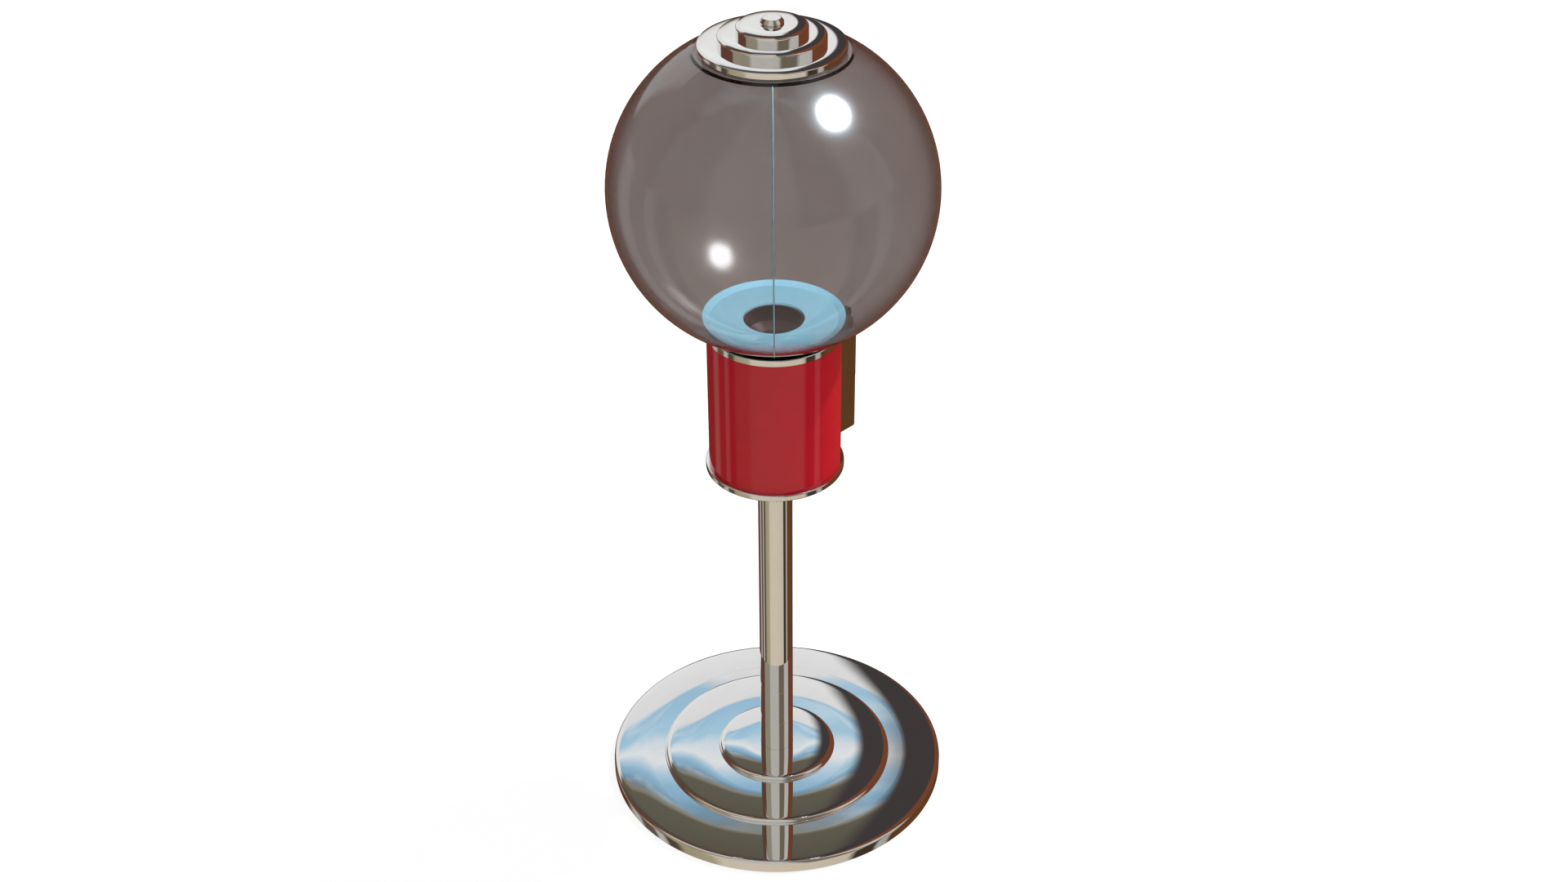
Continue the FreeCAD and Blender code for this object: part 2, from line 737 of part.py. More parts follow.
# Chrome flange that closes the body below, with the pole's upper socket and two posts for the housing.
def bottom_flange():
    rim = f"({BODY_BORE} - slip_fit)"
    body = turned("bottom_flange", [
        ("pole_radius + slip_fit", f"{FLANGE_BOTTOM} - hub_height"),
        ("hub_radius", f"{FLANGE_BOTTOM} - hub_height", "flange_round"),
        ("hub_radius", FLANGE_BOTTOM, "hub_round"),
        (FLANGE_RADIUS, FLANGE_BOTTOM, "flange_round"),
        (FLANGE_RADIUS, BODY_BOTTOM, "flange_round"),
        (rim, BODY_BOTTOM),
        (rim, f"{BODY_BOTTOM} + spigot_height"),
        (f"{rim} - spigot_wall", f"{BODY_BOTTOM} + spigot_height"),
        (f"{rim} - spigot_wall", BODY_BOTTOM),
        ("rod_radius + rod_play", BODY_BOTTOM),
        ("rod_radius + rod_play", POLE_HEAD),
        ("pole_radius + slip_fit", POLE_HEAD),
    ])
    posts = circles(new_sketch(body, "XY_Plane", out=BODY_BOTTOM), tab_places(), "tab_post_radius")
    pad(body, posts, "housing_rise")
    taps = circles(new_sketch(body, "XY_Plane", out=HOUSING_BOTTOM), tab_places(),
                   "tab_screw_radius + thread_gap")
    pocket(body, taps, "tab_screw_grip + slip_fit")
    stays = circles(new_sketch(body, "XY_Plane", out=BODY_BOTTOM), stay_places(),
                    "stay_radius + bolt_play")
    pocket(body, stays, "flange_thickness")
    return body


# Red drum body: a plain tube with a rectangular opening for the housing.
def body_shell():
    body = new_body("body_shell")
    walls = circles(new_sketch(body, "XY_Plane", out=BODY_BOTTOM), [("0", "0")], BODY_RADIUS, BODY_BORE)
    pad(body, walls, f"{BODY_TOP} - {BODY_BOTTOM}")
    side = f"({HOUSING_SIDE} + housing_fit)"
    window = rectangle(new_sketch(body, "XZ_Plane"), f"-{side}", f"{HOUSING_BOTTOM} - housing_fit",
                       side, f"{HOUSING_TOP} + housing_fit")
    pocket(body, window, f"{BODY_RADIUS} * 2", reverse=True)
    return body


# Chrome collar with a bulkhead that carries the globe and takes the ends of the stay bolts.
def top_collar():
    rim = f"({BODY_BORE} - slip_fit)"
    body = turned("top_collar", [
        (COLLAR_RADIUS, BODY_TOP),
        (COLLAR_RADIUS, COLLAR_TOP, "collar_round"),
        (f"{THROAT_OUTSIDE} + throat_play", COLLAR_TOP),
        (f"{THROAT_OUTSIDE} + throat_play", BULKHEAD_FLOOR),
        (f"{rim} - spigot_wall", BULKHEAD_FLOOR),
        (f"{rim} - spigot_wall", f"{BODY_TOP} - spigot_height"),
        (rim, f"{BODY_TOP} - spigot_height"),
        (rim, BODY_TOP),
    ])
    bosses = circles(new_sketch(body, "XY_Plane", out=BULKHEAD_FLOOR), stay_places(), "stay_boss_radius")
    pad(body, bosses, "stay_boss_height", reverse=True)
    boss_face = f"{BULKHEAD_FLOOR} - stay_boss_height"
    taps = circles(new_sketch(body, "XY_Plane", out=boss_face), stay_places(),
                   "stay_radius + thread_gap")
    pocket(body, taps, "stay_boss_height + slip_fit", reverse=True)
    posts = circles(new_sketch(body, "XY_Plane", out=BULKHEAD_FLOOR), tab_places(), "tab_post_radius")
    pad(body, posts, f"{BULKHEAD_FLOOR} - {HOUSING_TOP}", reverse=True)
    tab_taps = circles(new_sketch(body, "XY_Plane", out=HOUSING_TOP), tab_places(),
                       "tab_screw_radius + thread_gap")
    pocket(body, tab_taps, "tab_screw_grip + slip_fit", reverse=True)
    return body


# Four long bolts clamp the red body between its ends and carry the drum case between pairs of nuts.
def stay_bolts():
    length = f"{BULKHEAD_FLOOR} - {FLANGE_BOTTOM}"
    model = screw("stay_bolt", "stay_radius", length, "stay_head_radius", "stay_head_height",
                  "flange_round")
    bolts = []
    for i, (x, y) in enumerate(stay_places()):
        bolts.append(set_screw(f"stay_bolt_{i}", model, x, y, FLANGE_BOTTOM, HEAD_DOWN))
    return group("stay_bolts", bolts)


def stay_nuts():
    levels = (f"{SHAFT_Z} + ear_thickness", f"{SHAFT_Z} - ear_thickness - stay_nut_height")
    nuts = []
    for i, (x, y) in enumerate(stay_places()):
        for side, level in zip(("over", "under"), levels):
            nuts.append(hex_nut(f"stay_nut_{side}_{i}", "stay_nut_width", "stay_radius + thread_gap",
                                level, "stay_nut_height", x, y))
    return group("stay_nuts", nuts)


# Clear globe: two moulded halves of a hollow ball, with a flat foot and a mouth with a thick inner lip.
# They are cemented edge to edge along an upright seam.
def globe_halves():
    def ball(name, radius):
        item = doc.addObject("Part::Sphere", name)
        bind(item, Radius=radius)
        place(item, z=GLOBE_CENTRE)
        return item

    def common(name, base, tool):
        item = doc.addObject("Part::Common", name)
        item.Base = base
        item.Tool = tool
        return item

    shell = cut("globe_shell", ball("globe_outside", "globe_radius"), ball("globe_inside", GLOBE_BORE))
    zone = upright("globe_zone", "globe_radius + globe_wall", GLOBE_FOOT, f"{GLOBE_MOUTH} - {GLOBE_FOOT}")
    lip_zone = upright("globe_lip_zone", "globe_radius", f"{GLOBE_MOUTH} - mouth_lip", "mouth_lip")
    lip_disc = common("globe_lip_disc", ball("globe_lip_ball", "globe_radius"), lip_zone)
    lip = cut("globe_lip", lip_disc, upright("globe_mouth_hole", MOUTH_BORE, f"{GLOBE_MOUTH} - mouth_lip",
                                             "mouth_lip"))
    whole = doc.addObject("Part::Fuse", "globe_whole")
    whole.Base = common("globe_wall_zone", shell, zone)
    whole.Tool = lip
    whole.Refine = True

    def half(label, side, turn):
        shift = f"{side}seam_gap / 2 * cos(45)"
        space = upright(f"{label}_space", "globe_radius + globe_wall", f"{GLOBE_FOOT} - fuse_bite",
                        f"{GLOBE_MOUTH} - {GLOBE_FOOT} + 2 * fuse_bite", shift, shift)
        space.Angle = 180
        space.Placement = FreeCAD.Placement(space.Placement.Base, FreeCAD.Rotation(FreeCAD.Vector(0, 0, 1), turn))
        return common(label, whole, space)

    return [half("globe_front", "-", 135), half("globe_back", "", -45)]


# Chrome dish in the foot of the globe, with a threaded throat that a ring nut pulls down on the bulkhead.
def hopper_plate():
    return turned("hopper_plate", [
        ("throat_radius", PLATE_TOP),
        (PLATE_FLAT, PLATE_TOP),
        (PLATE_RIM, RIM_TOP),
        (PLATE_RIM, RIM_UNDER),
        (PLATE_FLAT, PLATE_UNDER),
        (THROAT_OUTSIDE, PLATE_UNDER),
        (THROAT_OUTSIDE, THROAT_FOOT),
        ("throat_radius", THROAT_FOOT),
    ])


# Wedge-shaped rubber ring between the dish and the inside of the globe.
def plate_seal():
    outside = f"({PLATE_FLAT} - fuse_bite)"
    height = f"{PLATE_UNDER} - {GLOBE_FOOT}"
    blank = ring("plate_seal_blank", f"{outside} - seal_width", outside, GLOBE_FOOT, height)
    inside = doc.addObject("Part::Sphere", "plate_seal_ball")
    bind(inside, Radius=f"{GLOBE_BORE} - seal_gap")
    place(inside, z=GLOBE_CENTRE)
    item = doc.addObject("Part::Common", "plate_seal")
    item.Base = blank
    item.Tool = inside
    return item


def throat_nut():
    body = turned("throat_nut", [
        (f"{THROAT_OUTSIDE} + thread_gap", THROAT_FOOT),
        ("throat_nut_radius", THROAT_FOOT, "collar_round"),
        ("throat_nut_radius", BULKHEAD_FLOOR),
        (f"{THROAT_OUTSIDE} + thread_gap", BULKHEAD_FLOOR),
    ])
    notch = rectangle(new_sketch(body, "XY_Plane", out=BULKHEAD_FLOOR),
                      "throat_nut_radius - throat_nut_notch_depth", "-throat_nut_notch / 2",
                      "throat_nut_radius + fuse_bite", "throat_nut_notch / 2")
    ring_pattern(body, pocket(body, notch, "throat_nut_height"), "rib_count")
    return body


# Stepped lid: a spun shell with an open underside.
def lid():
    return turned("lid", [
        (LID_RADIUS, LID_SEAM),
        *crowned_edge("rim", LID_RADIUS, "lid_mid_radius", LID_LOW),
        ("lid_mid_radius", LID_LOW),
        *crowned_edge("lid", "lid_mid_radius", "lid_top_radius", LID_MID),
        ("lid_top_radius", LID_MID),
        *crowned_edge("lid", "lid_top_radius", "knob_head_radius", LID_TOP),
        ("knob_screw_radius + bolt_play", LID_TOP),
        ("knob_screw_radius + bolt_play", f"{LID_TOP} - lid_wall"),
        ("lid_top_radius - lid_corner", f"{LID_TOP} - lid_wall"),
        ("lid_top_radius - lid_corner", f"{LID_MID} - lid_wall"),
        ("lid_mid_radius - lid_corner", f"{LID_MID} - lid_wall"),
        ("lid_mid_radius - lid_corner", LID_SEAM),
    ])


# Ring soldered under the lid's edge, with a skirt over the gasket.
def lid_rim():
    skirt_foot = f"({GLOBE_MOUTH} + lid_skirt_gap)"
    skirt_inside = f"({LID_RADIUS} - lid_skirt)"
    spigot_seat = f"({LID_SPIGOT} + press_gap)"
    return turned("lid_rim", [
        (LID_RADIUS, skirt_foot),
        (LID_RADIUS, LID_SEAM),
        (spigot_seat, LID_SEAM),
        (spigot_seat, LID_UNDER),
        (skirt_inside, LID_UNDER),
        (skirt_inside, skirt_foot),
    ])


# Ring pressed into the rim, which hangs in the globe's mouth and keeps the lid in place.
def lid_spigot():
    foot = f"({GLOBE_MOUTH} - lid_spigot_depth)"
    return ring("lid_spigot", f"{LID_SPIGOT} - lid_spigot_wall", LID_SPIGOT, foot, f"{LID_SEAM} - {foot}")


# Low turned button on the lid, undercut at its foot for the finger tips.
def lid_knob():
    top = f"({LID_TOP} + knob_height)"
    hole = "(knob_screw_radius + thread_gap)"
    hole_top = f"({LID_TOP} + knob_screw_grip + slip_fit)"
    return turned("lid_knob", [
        (hole, LID_TOP),
        ("knob_foot_radius", LID_TOP),
        ("knob_head_radius", f"{LID_TOP} + knob_head_rise", "knob_head_round"),
        ("knob_top_radius", top, "knob_top_round"),
        ("0", top),
        ("0", hole_top),
        (hole, hole_top),
    ])


def knob_screw():
    model = screw("knob_screw_model", "knob_screw_radius", "lid_wall + knob_screw_grip",
                  "knob_screw_head_radius", "knob_screw_head_height", "flange_round")
    seat = f"{LID_TOP} - lid_wall"
    return group("knob_screw", [set_screw("knob_screw_set", model, "0", "0", seat, HEAD_DOWN)])


# Drum case: two moulded halves round the drum, split at the shaft.
def case_section(side):
    """The wall of one half, cut along the shaft; side is a minus for the lower half."""
    seat = f"{side}(bush_radius + press_gap)"
    outside = f"{side}{CASE_RADIUS}"
    inside = f"{side}{CASE_BORE}"
    return [
        (f"-{CASE_END}", seat),
        (f"-{CASE_END}", outside),
        (CASE_END, outside),
        (CASE_END, seat),
        (CASE_INSIDE, seat),
        (CASE_INSIDE, inside),
        (f"-{CASE_INSIDE}", inside),
        (f"-{CASE_INSIDE}", seat),
    ]


def case_half(label, side):
    body = new_body(label)
    revolve(body, outline(shaft_sketch(body), case_section(side)), "H_Axis", 180)
    root = f"({CASE_BORE} + fuse_bite)"
    for left, right in ((root, EAR_REACH), (f"-{EAR_REACH}", f"-{root}")):
        ear = rectangle(new_sketch(body, "XY_Plane", out=SHAFT_Z), left, f"-{EAR_HALF_LENGTH}",
                        right, EAR_HALF_LENGTH, "flange_round")
        pad(body, ear, "ear_thickness", reverse=side == "-")
    holes = circles(new_sketch(body, "XY_Plane", out=SHAFT_Z), stay_places(), "stay_radius + bolt_play")
    pocket(body, holes, "ear_thickness", reverse=side == "")
    return body


NECK_OUTSIDE = "(neck_radius + funnel_wall)"


def drum_cover():
    body = case_half("drum_cover", "")
    neck_hole = circles(new_sketch(body, "XY_Plane", out=CASE_TOP), [("0", "0")],
                        f"{NECK_OUTSIDE} + slip_fit")
    pocket(body, neck_hole, CASE_RADIUS)
    return body


# Funnel between the throat and the drum: its neck drops into the cover and follows the drum's curve.
def feed_funnel():
    body = new_body("feed_funnel")
    outside = "(throat_radius - funnel_gap)"
    top = f"({PLATE_TOP} - funnel_drop)"
    foot = f"({SHAFT_Z} + sqrt({CASE_BORE} ^ 2 - {NECK_OUTSIDE} ^ 2))"
    section = outline(new_sketch(body, "XZ_Plane"), [
        (f"{outside} - funnel_wall", top),
        (outside, top),
        (outside, THROAT_FOOT),
        (NECK_OUTSIDE, CASE_TOP),
        (NECK_OUTSIDE, foot),
        ("neck_radius", foot),
        ("neck_radius", CASE_TOP),
        (f"{outside} - funnel_wall", THROAT_FOOT),
    ])
    revolve(body, section)
    drum_space = rectangle(shaft_sketch(body), f"-{CASE_INSIDE}", "0", CASE_INSIDE, CASE_BORE)
    groove(body, drum_space, "H_Axis")
    return body


def drum_cradle():
    body = case_half("drum_cradle", "-")
    hole = rectangle(new_sketch(body, "XY_Plane", out=SHAFT_Z), "-exit_half", "-exit_half",
                     "exit_half", "exit_half")
    pocket(body, hole, f"{CASE_RADIUS} + fuse_bite")
    return body


def drum_bushes():
    def bush(label, hand):
        return turned_on_shaft(label, [
            (f"{hand}{CASE_INSIDE}", BUSH_BORE),
            (f"{hand}{CASE_INSIDE}", "bush_radius"),
            (f"{hand}{CASE_END}", "bush_radius"),
            (f"{hand}{CASE_END}", "bush_flange_radius"),
            (f"{hand}{BUSH_BACK}", "bush_flange_radius"),
            (f"{hand}{BUSH_BACK}", BUSH_BORE),
        ])
    return group("drum_bushes", [bush("rear_drum_bush", ""), bush("front_drum_bush", "-")])


# Drum with one round-bottomed pocket that faces up into the neck of the funnel at rest.
def dispensing_drum():
    body = new_body("dispensing_drum")
    barrel = circles(new_sketch(body, "XZ_Plane"), [("0", SHAFT_Z)],
                     "drum_radius", "shaft_radius + press_gap")
    pad(body, barrel, "drum_length", symmetric=True)
    top = f"({SHAFT_Z} + drum_radius + fuse_bite)"
    floor = f"({SHAFT_Z} + pocket_floor)"
    cup = outline(new_sketch(body, "XZ_Plane"), [
        ("0", floor),
        ("pocket_radius", floor, "pocket_round"),
        ("pocket_radius", top),
        ("0", top),
    ])
    groove(body, cup)
    hole = circles(new_sketch(body, "XY_Plane", out=SHAFT_Z), [("0", "pin_place")],
                   "pin_radius + press_gap")
    pocket(body, hole, "pin_half_length * 2", symmetric=True)
    return body


# Drive shaft with a groove for its clip, a cross hole for the drum's pin and a tapped nose.
def drive_shaft():
    root = "(shaft_radius - clip_groove_depth)"
    tap = "(handle_screw_radius + thread_gap)"
    tap_end = f"(handle_screw_grip - handle_roof + slip_fit - {SHAFT_NOSE})"
    body = turned_on_shaft("drive_shaft", [
        (tap_end, "0"),
        (SHAFT_TAIL, "0"),
        (SHAFT_TAIL, "shaft_radius"),
        (f"{CLIP_FRONT} + clip_thickness + slip_fit", "shaft_radius"),
        (f"{CLIP_FRONT} + clip_thickness + slip_fit", root),
        (f"{CLIP_FRONT} - slip_fit", root),
        (f"{CLIP_FRONT} - slip_fit", "shaft_radius"),
        (f"-{SHAFT_NOSE}", "shaft_radius"),
        (f"-{SHAFT_NOSE}", tap),
        (tap_end, tap),
    ])
    hole = circles(new_sketch(body, "XY_Plane", out=SHAFT_Z), [("0", "pin_place")],
                   "pin_radius + press_gap")
    pocket(body, hole, "shaft_radius * 4", symmetric=True)
    return body


def drum_pin():
    item = upright("drum_pin", "pin_radius", f"{SHAFT_Z} - pin_half_length", "pin_half_length * 2",
                   y="pin_place")
    item.Label = "drum_pin"
    return item


def shaft_clip():
    body = new_body("shaft_clip")
    section = rectangle(shaft_sketch(body), CLIP_FRONT, "shaft_radius - clip_groove_depth + slip_fit",
                        f"{CLIP_FRONT} + clip_thickness", "clip_radius")
    revolve(body, section, "H_Axis")
    gap = rectangle(new_sketch(body, "XZ_Plane", out=f"-({CLIP_FRONT})"), "-shaft_radius / 2", SHAFT_Z,
                    "shaft_radius / 2", f"{SHAFT_Z} + clip_radius + fuse_bite")
    pocket(body, gap, "clip_thickness * 2", symmetric=True)
    return body


# Coin wheel behind the housing's face, with a notch that a coin drops into from the slot above.
def coin_wheel():
    body = new_body("coin_wheel")
    disc = circles(new_sketch(body, "XZ_Plane", out=COIN_WHEEL_FRONT), [("0", SHAFT_Z)],
                   COIN_WHEEL_RADIUS, "shaft_radius + press_gap")
    pad(body, disc, "coin_wheel_thickness", reverse=True)
    edge = f"({SHAFT_Z} + {COIN_WHEEL_RADIUS})"
    floor = f"({edge} - coin_depth)"
    top = f"({edge} + fuse_bite)"
    notch = outline(new_sketch(body, "XZ_Plane", out=COIN_WHEEL_FRONT), [
        ("-coin_half_width", top),
        ("-coin_half_width", floor, "coin_round"),
        ("coin_half_width", floor, "coin_round"),
        ("coin_half_width", top),
    ])
    pocket(body, notch, "coin_slot_width")
    return body


# Chrome housing: a deep cast box through the body's opening, with the outlet frame and hinge lugs.
def mech_housing():
    body = new_body("mech_housing")
    block = outline(new_sketch(body, "XY_Plane", out=HOUSING_BOTTOM), [
        (f"-{HOUSING_SIDE}", "-housing_back"),
        (f"-{HOUSING_SIDE}", "-housing_front", "housing_round"),
        (HOUSING_SIDE, "-housing_front", "housing_round"),
        (HOUSING_SIDE, "-housing_back"),
    ])
    height = f"{HOUSING_TOP} - {HOUSING_BOTTOM}"
    pad(body, block, height)
    frame = rectangle(new_sketch(body, "XZ_Plane", out="housing_front"), f"-{FRAME_SIDE}", FLAP_FOOT,
                      FRAME_SIDE, FRAME_TOP, "lug_round")
    pad(body, frame, "frame_height")
    lug_end = f"-({HINGE_Y} + knuckle_radius)"
    lug_root = "-housing_front + fuse_bite"
    lug = outline(new_sketch(body, "YZ_Plane"), [
        (lug_root, f"{HINGE_Z} - knuckle_radius"),
        (lug_end, f"{HINGE_Z} - knuckle_radius", "lug_round"),
        (lug_end, f"{HINGE_Z} + knuckle_radius", "lug_round"),
        (lug_root, f"{HINGE_Z} + knuckle_radius"),
    ])
    pad(body, lug, "lug_reach * 2", symmetric=True)
    gap_end = f"-({HINGE_Y} + knuckle_radius + fuse_bite)"
    gap = rectangle(new_sketch(body, "YZ_Plane"), gap_end, FRAME_TOP, "-housing_front",
                    f"{HINGE_Z} + knuckle_radius + fuse_bite")
    pocket(body, gap, "(knuckle_half_length + knuckle_gap) * 2", symmetric=True)
    pin_hole = circles(new_sketch(body, "YZ_Plane"), [(f"-{HINGE_Y}", HINGE_Z)],
                       "hinge_pin_radius + hinge_pin_gap")
    pocket(body, pin_hole, "lug_reach * 2 + fuse_bite", symmetric=True)
    room = rectangle(new_sketch(body, "XZ_Plane", out="housing_back"), f"-{ROOM_SIDE}",
                     f"{HOUSING_BOTTOM} + housing_wall", ROOM_SIDE, f"{HOUSING_TOP} - housing_wall")
    pocket(body, room, f"{HOUSING_INSIDE} - housing_back", reverse=True)
    outlet = rectangle(new_sketch(body, "XZ_Plane", out=HOUSING_INSIDE),
                       "-outlet_half_width", OUTLET_BOTTOM, "outlet_half_width", OUTLET_TOP)
    pocket(body, outlet, "housing_wall + frame_height", reverse=True)
    bush_hole = circles(new_sketch(body, "XZ_Plane", out=HOUSING_INSIDE), [("0", SHAFT_Z)],
                        "bush_radius + press_gap")
    pocket(body, bush_hole, "housing_wall", reverse=True)
    plate_holes = circles(new_sketch(body, "XZ_Plane", out=HOUSING_INSIDE), plate_screw_places(),
                          "plate_screw_radius + thread_gap")
    pocket(body, plate_holes, "housing_wall", reverse=True)
    slot = rectangle(new_sketch(body, "XY_Plane", out=HOUSING_TOP),
                     "-coin_half_width", f"-{COIN_WHEEL_FRONT}",
                     "coin_half_width", f"-({COIN_WHEEL_FRONT} - coin_slot_width)")
    pocket(body, slot, "housing_wall")
    tab_holes = circles(new_sketch(body, "XY_Plane", out=HOUSING_BOTTOM), tab_places(),
                        "tab_screw_radius + bolt_play")
    pocket(body, tab_holes, height, reverse=True)
    return body


def housing_screws():
    model = screw("housing_screw", "tab_screw_radius", "housing_wall + tab_screw_grip",
                  "tab_screw_head_radius", "tab_screw_head_height", "flange_round")
    low = f"{HOUSING_BOTTOM} + housing_wall"
    high = f"{HOUSING_TOP} - housing_wall"
    screws = []
    for i, (x, y) in enumerate(tab_places()):
        screws.append(set_screw(f"housing_screw_low_{i}", model, x, y, low, HEAD_UP))
        screws.append(set_screw(f"housing_screw_high_{i}", model, x, y, high, HEAD_DOWN))
    return group("housing_screws", screws)


def plate_screw_places():
    across = f"{COIN_PLATE_SIDE} - plate_screw_inset"
    up = f"({COIN_PLATE_HALF_HEIGHT} - plate_screw_inset)"
    return [(f"{a}({across})", f"{SHAFT_Z} {b} {up}") for a in ("", "-") for b in ("+", "-")]


# Face plate with a raised dial ring round the handle.
def coin_plate():
    body = new_body("coin_plate")
    blank = rectangle(new_sketch(body, "XZ_Plane", out="housing_front"),
                      f"-{COIN_PLATE_SIDE}", f"{SHAFT_Z} - {COIN_PLATE_HALF_HEIGHT}",
                      COIN_PLATE_SIDE, f"{SHAFT_Z} + {COIN_PLATE_HALF_HEIGHT}", "coin_plate_round")
    pad(body, blank, "coin_plate_thickness")
    dial = circles(new_sketch(body, "XZ_Plane", out=COIN_PLATE_FACE), [("0", SHAFT_Z)],
                   "dial_ring_radius", "dial_ring_radius - dial_ring_width")
    pad(body, dial, "dial_ring_height")
    bush_hole = circles(new_sketch(body, "XZ_Plane", out="housing_front"), [("0", SHAFT_Z)],
                        "bush_radius + press_gap")
    pocket(body, bush_hole, "coin_plate_thickness", reverse=True)
    holes = circles(new_sketch(body, "XZ_Plane", out="housing_front"), plate_screw_places(),
                    "plate_screw_radius + bolt_play")
    pocket(body, holes, "coin_plate_thickness", reverse=True)
    return body


def plate_screws():
    model = screw("plate_screw", "plate_screw_radius", "coin_plate_thickness + housing_wall",
                  "plate_screw_head_radius", "plate_screw_head_height", "plate_screw_round")
    screws = []
    for i, (x, z) in enumerate(plate_screw_places()):
        screws.append(set_screw(f"plate_screw_{i}", model, x, f"-{COIN_PLATE_FACE}", z, HEAD_FRONT))
    return group("plate_screws", screws)


def plate_bush():
    return turned_on_shaft("plate_bush", [
        (f"-{HOUSING_INSIDE}", BUSH_BORE),
        (f"-{HOUSING_INSIDE}", "bush_radius"),
        (f"-{COIN_PLATE_FACE}", "bush_radius"),
        (f"-{COIN_PLATE_FACE}", "bush_flange_radius"),
        (f"-{BUSH_FACE}", "bush_flange_radius"),
        (f"-{BUSH_FACE}", BUSH_BORE),
    ])


# Turn handle: a waisted cast bar on a round hub.
def turn_handle():
    body = new_body("turn_handle")
    hub = circles(new_sketch(body, "XZ_Plane", out=HANDLE_BACK), [("0", SHAFT_Z)], "handle_hub_radius")
    pad(body, hub, "handle_hub_length")
    levels = ("handle_half_length", "handle_waist_place", "0",
              "-handle_waist_place", "-handle_half_length")
    widths = ("tip", "waist", "middle", "waist", "tip")
    rounds = ("tip", "waist", "waist", "waist", "tip")
    right = []
    for level, width, turn in zip(levels, widths, rounds):
        right.append((f"handle_{width}_half_width", level, f"handle_{turn}_round"))
    left = [(f"-{across}", level, turn) for across, level, turn in reversed(right)]
    bar = outline(new_sketch(body, "XZ_Plane", up=SHAFT_Z, out=BAR_BACK), right + left)
    bar_pad = pad(body, bar, "handle_thickness")
    front = [face for face in body.Shape.Faces if face.normalAt(0, 0).y < -0.99]
    front_face = min(front, key=lambda face: face.CenterOfMass.y)
    names = [f"Edge{i}" for i, edge in enumerate(body.Shape.Edges, 1)
             if any(edge.isSame(other) for other in front_face.Edges)]
    soft_edge = body.newObject("PartDesign::Fillet", "turn_handle_fillet")
    soft_edge.Base = (bar_pad, names)
    bind(soft_edge, Radius="handle_edge_round")
    doc.recompute()
    bore = circles(new_sketch(body, "XZ_Plane", out=HANDLE_BACK), [("0", SHAFT_Z)],
                   "shaft_radius + press_gap")
    pocket(body, bore, f"{SHAFT_NOSE} - {HANDLE_BACK}", reverse=True)
    screw_hole = circles(new_sketch(body, "XZ_Plane", out=SHAFT_NOSE), [("0", SHAFT_Z)],
                         "handle_screw_radius + bolt_play")
    pocket(body, screw_hole, "handle_roof", reverse=True)
    return body


def handle_screw():
    model = screw("handle_screw_model", "handle_screw_radius", "handle_screw_grip",
                  "handle_screw_head_radius", "handle_screw_head_height", "handle_screw_round")
    return group("handle_screw", [set_screw("handle_screw_set", model, "0", f"-{BAR_FRONT}", SHAFT_Z,
                                            HEAD_FRONT)])


# Flap that hangs shut over the outlet on a pin, with a finger lip along its foot.
def chute_flap():
    body = new_body("chute_flap")
    lip_end = f"-({FLAP_FRONT} + flap_lip)"
    lip_top = f"({FLAP_FOOT} + flap_lip_height)"
    leaf = outline(new_sketch(body, "YZ_Plane"), [
        (f"-{FLAP_BACK}", FLAP_FOOT),
        (lip_end, FLAP_FOOT),
        (lip_end, lip_top),
        (f"-{FLAP_FRONT}", lip_top, "flap_lip_round"),
        (f"-{FLAP_FRONT}", FLAP_TOP),
        (f"-{FLAP_BACK}", FLAP_TOP),
    ])
    pad(body, leaf, f"{FRAME_SIDE} * 2", symmetric=True)
    neck = rectangle(new_sketch(body, "YZ_Plane"), f"-{FLAP_FRONT}", f"{FLAP_TOP} - fuse_bite",
                     f"-{FLAP_BACK}", HINGE_Z)
    pad(body, neck, "knuckle_half_length * 2", symmetric=True)
    hinge = [(f"-{HINGE_Y}", HINGE_Z)]
    pad(body, circles(new_sketch(body, "YZ_Plane"), hinge, "knuckle_radius"), "knuckle_half_length * 2",
        symmetric=True)
    bore = circles(new_sketch(body, "YZ_Plane"), hinge, "hinge_pin_radius + hinge_pin_gap")
    pocket(body, bore, "knuckle_half_length * 2 + fuse_bite", symmetric=True)
    return body


def flap_pin():
    item = doc.addObject("Part::Cylinder", "flap_pin")
    item.Label = "flap_pin"
    half = "(lug_reach + hinge_pin_end)"
    bind(item, Radius="hinge_pin_radius", Height=f"{half} * 2")
    item.Placement = FreeCAD.Placement(FreeCAD.Vector(), FreeCAD.Rotation(FreeCAD.Vector(0, 1, 0), 90))
    place(item, f"-{half}", f"-{HINGE_Y}", HINGE_Z)
    return item


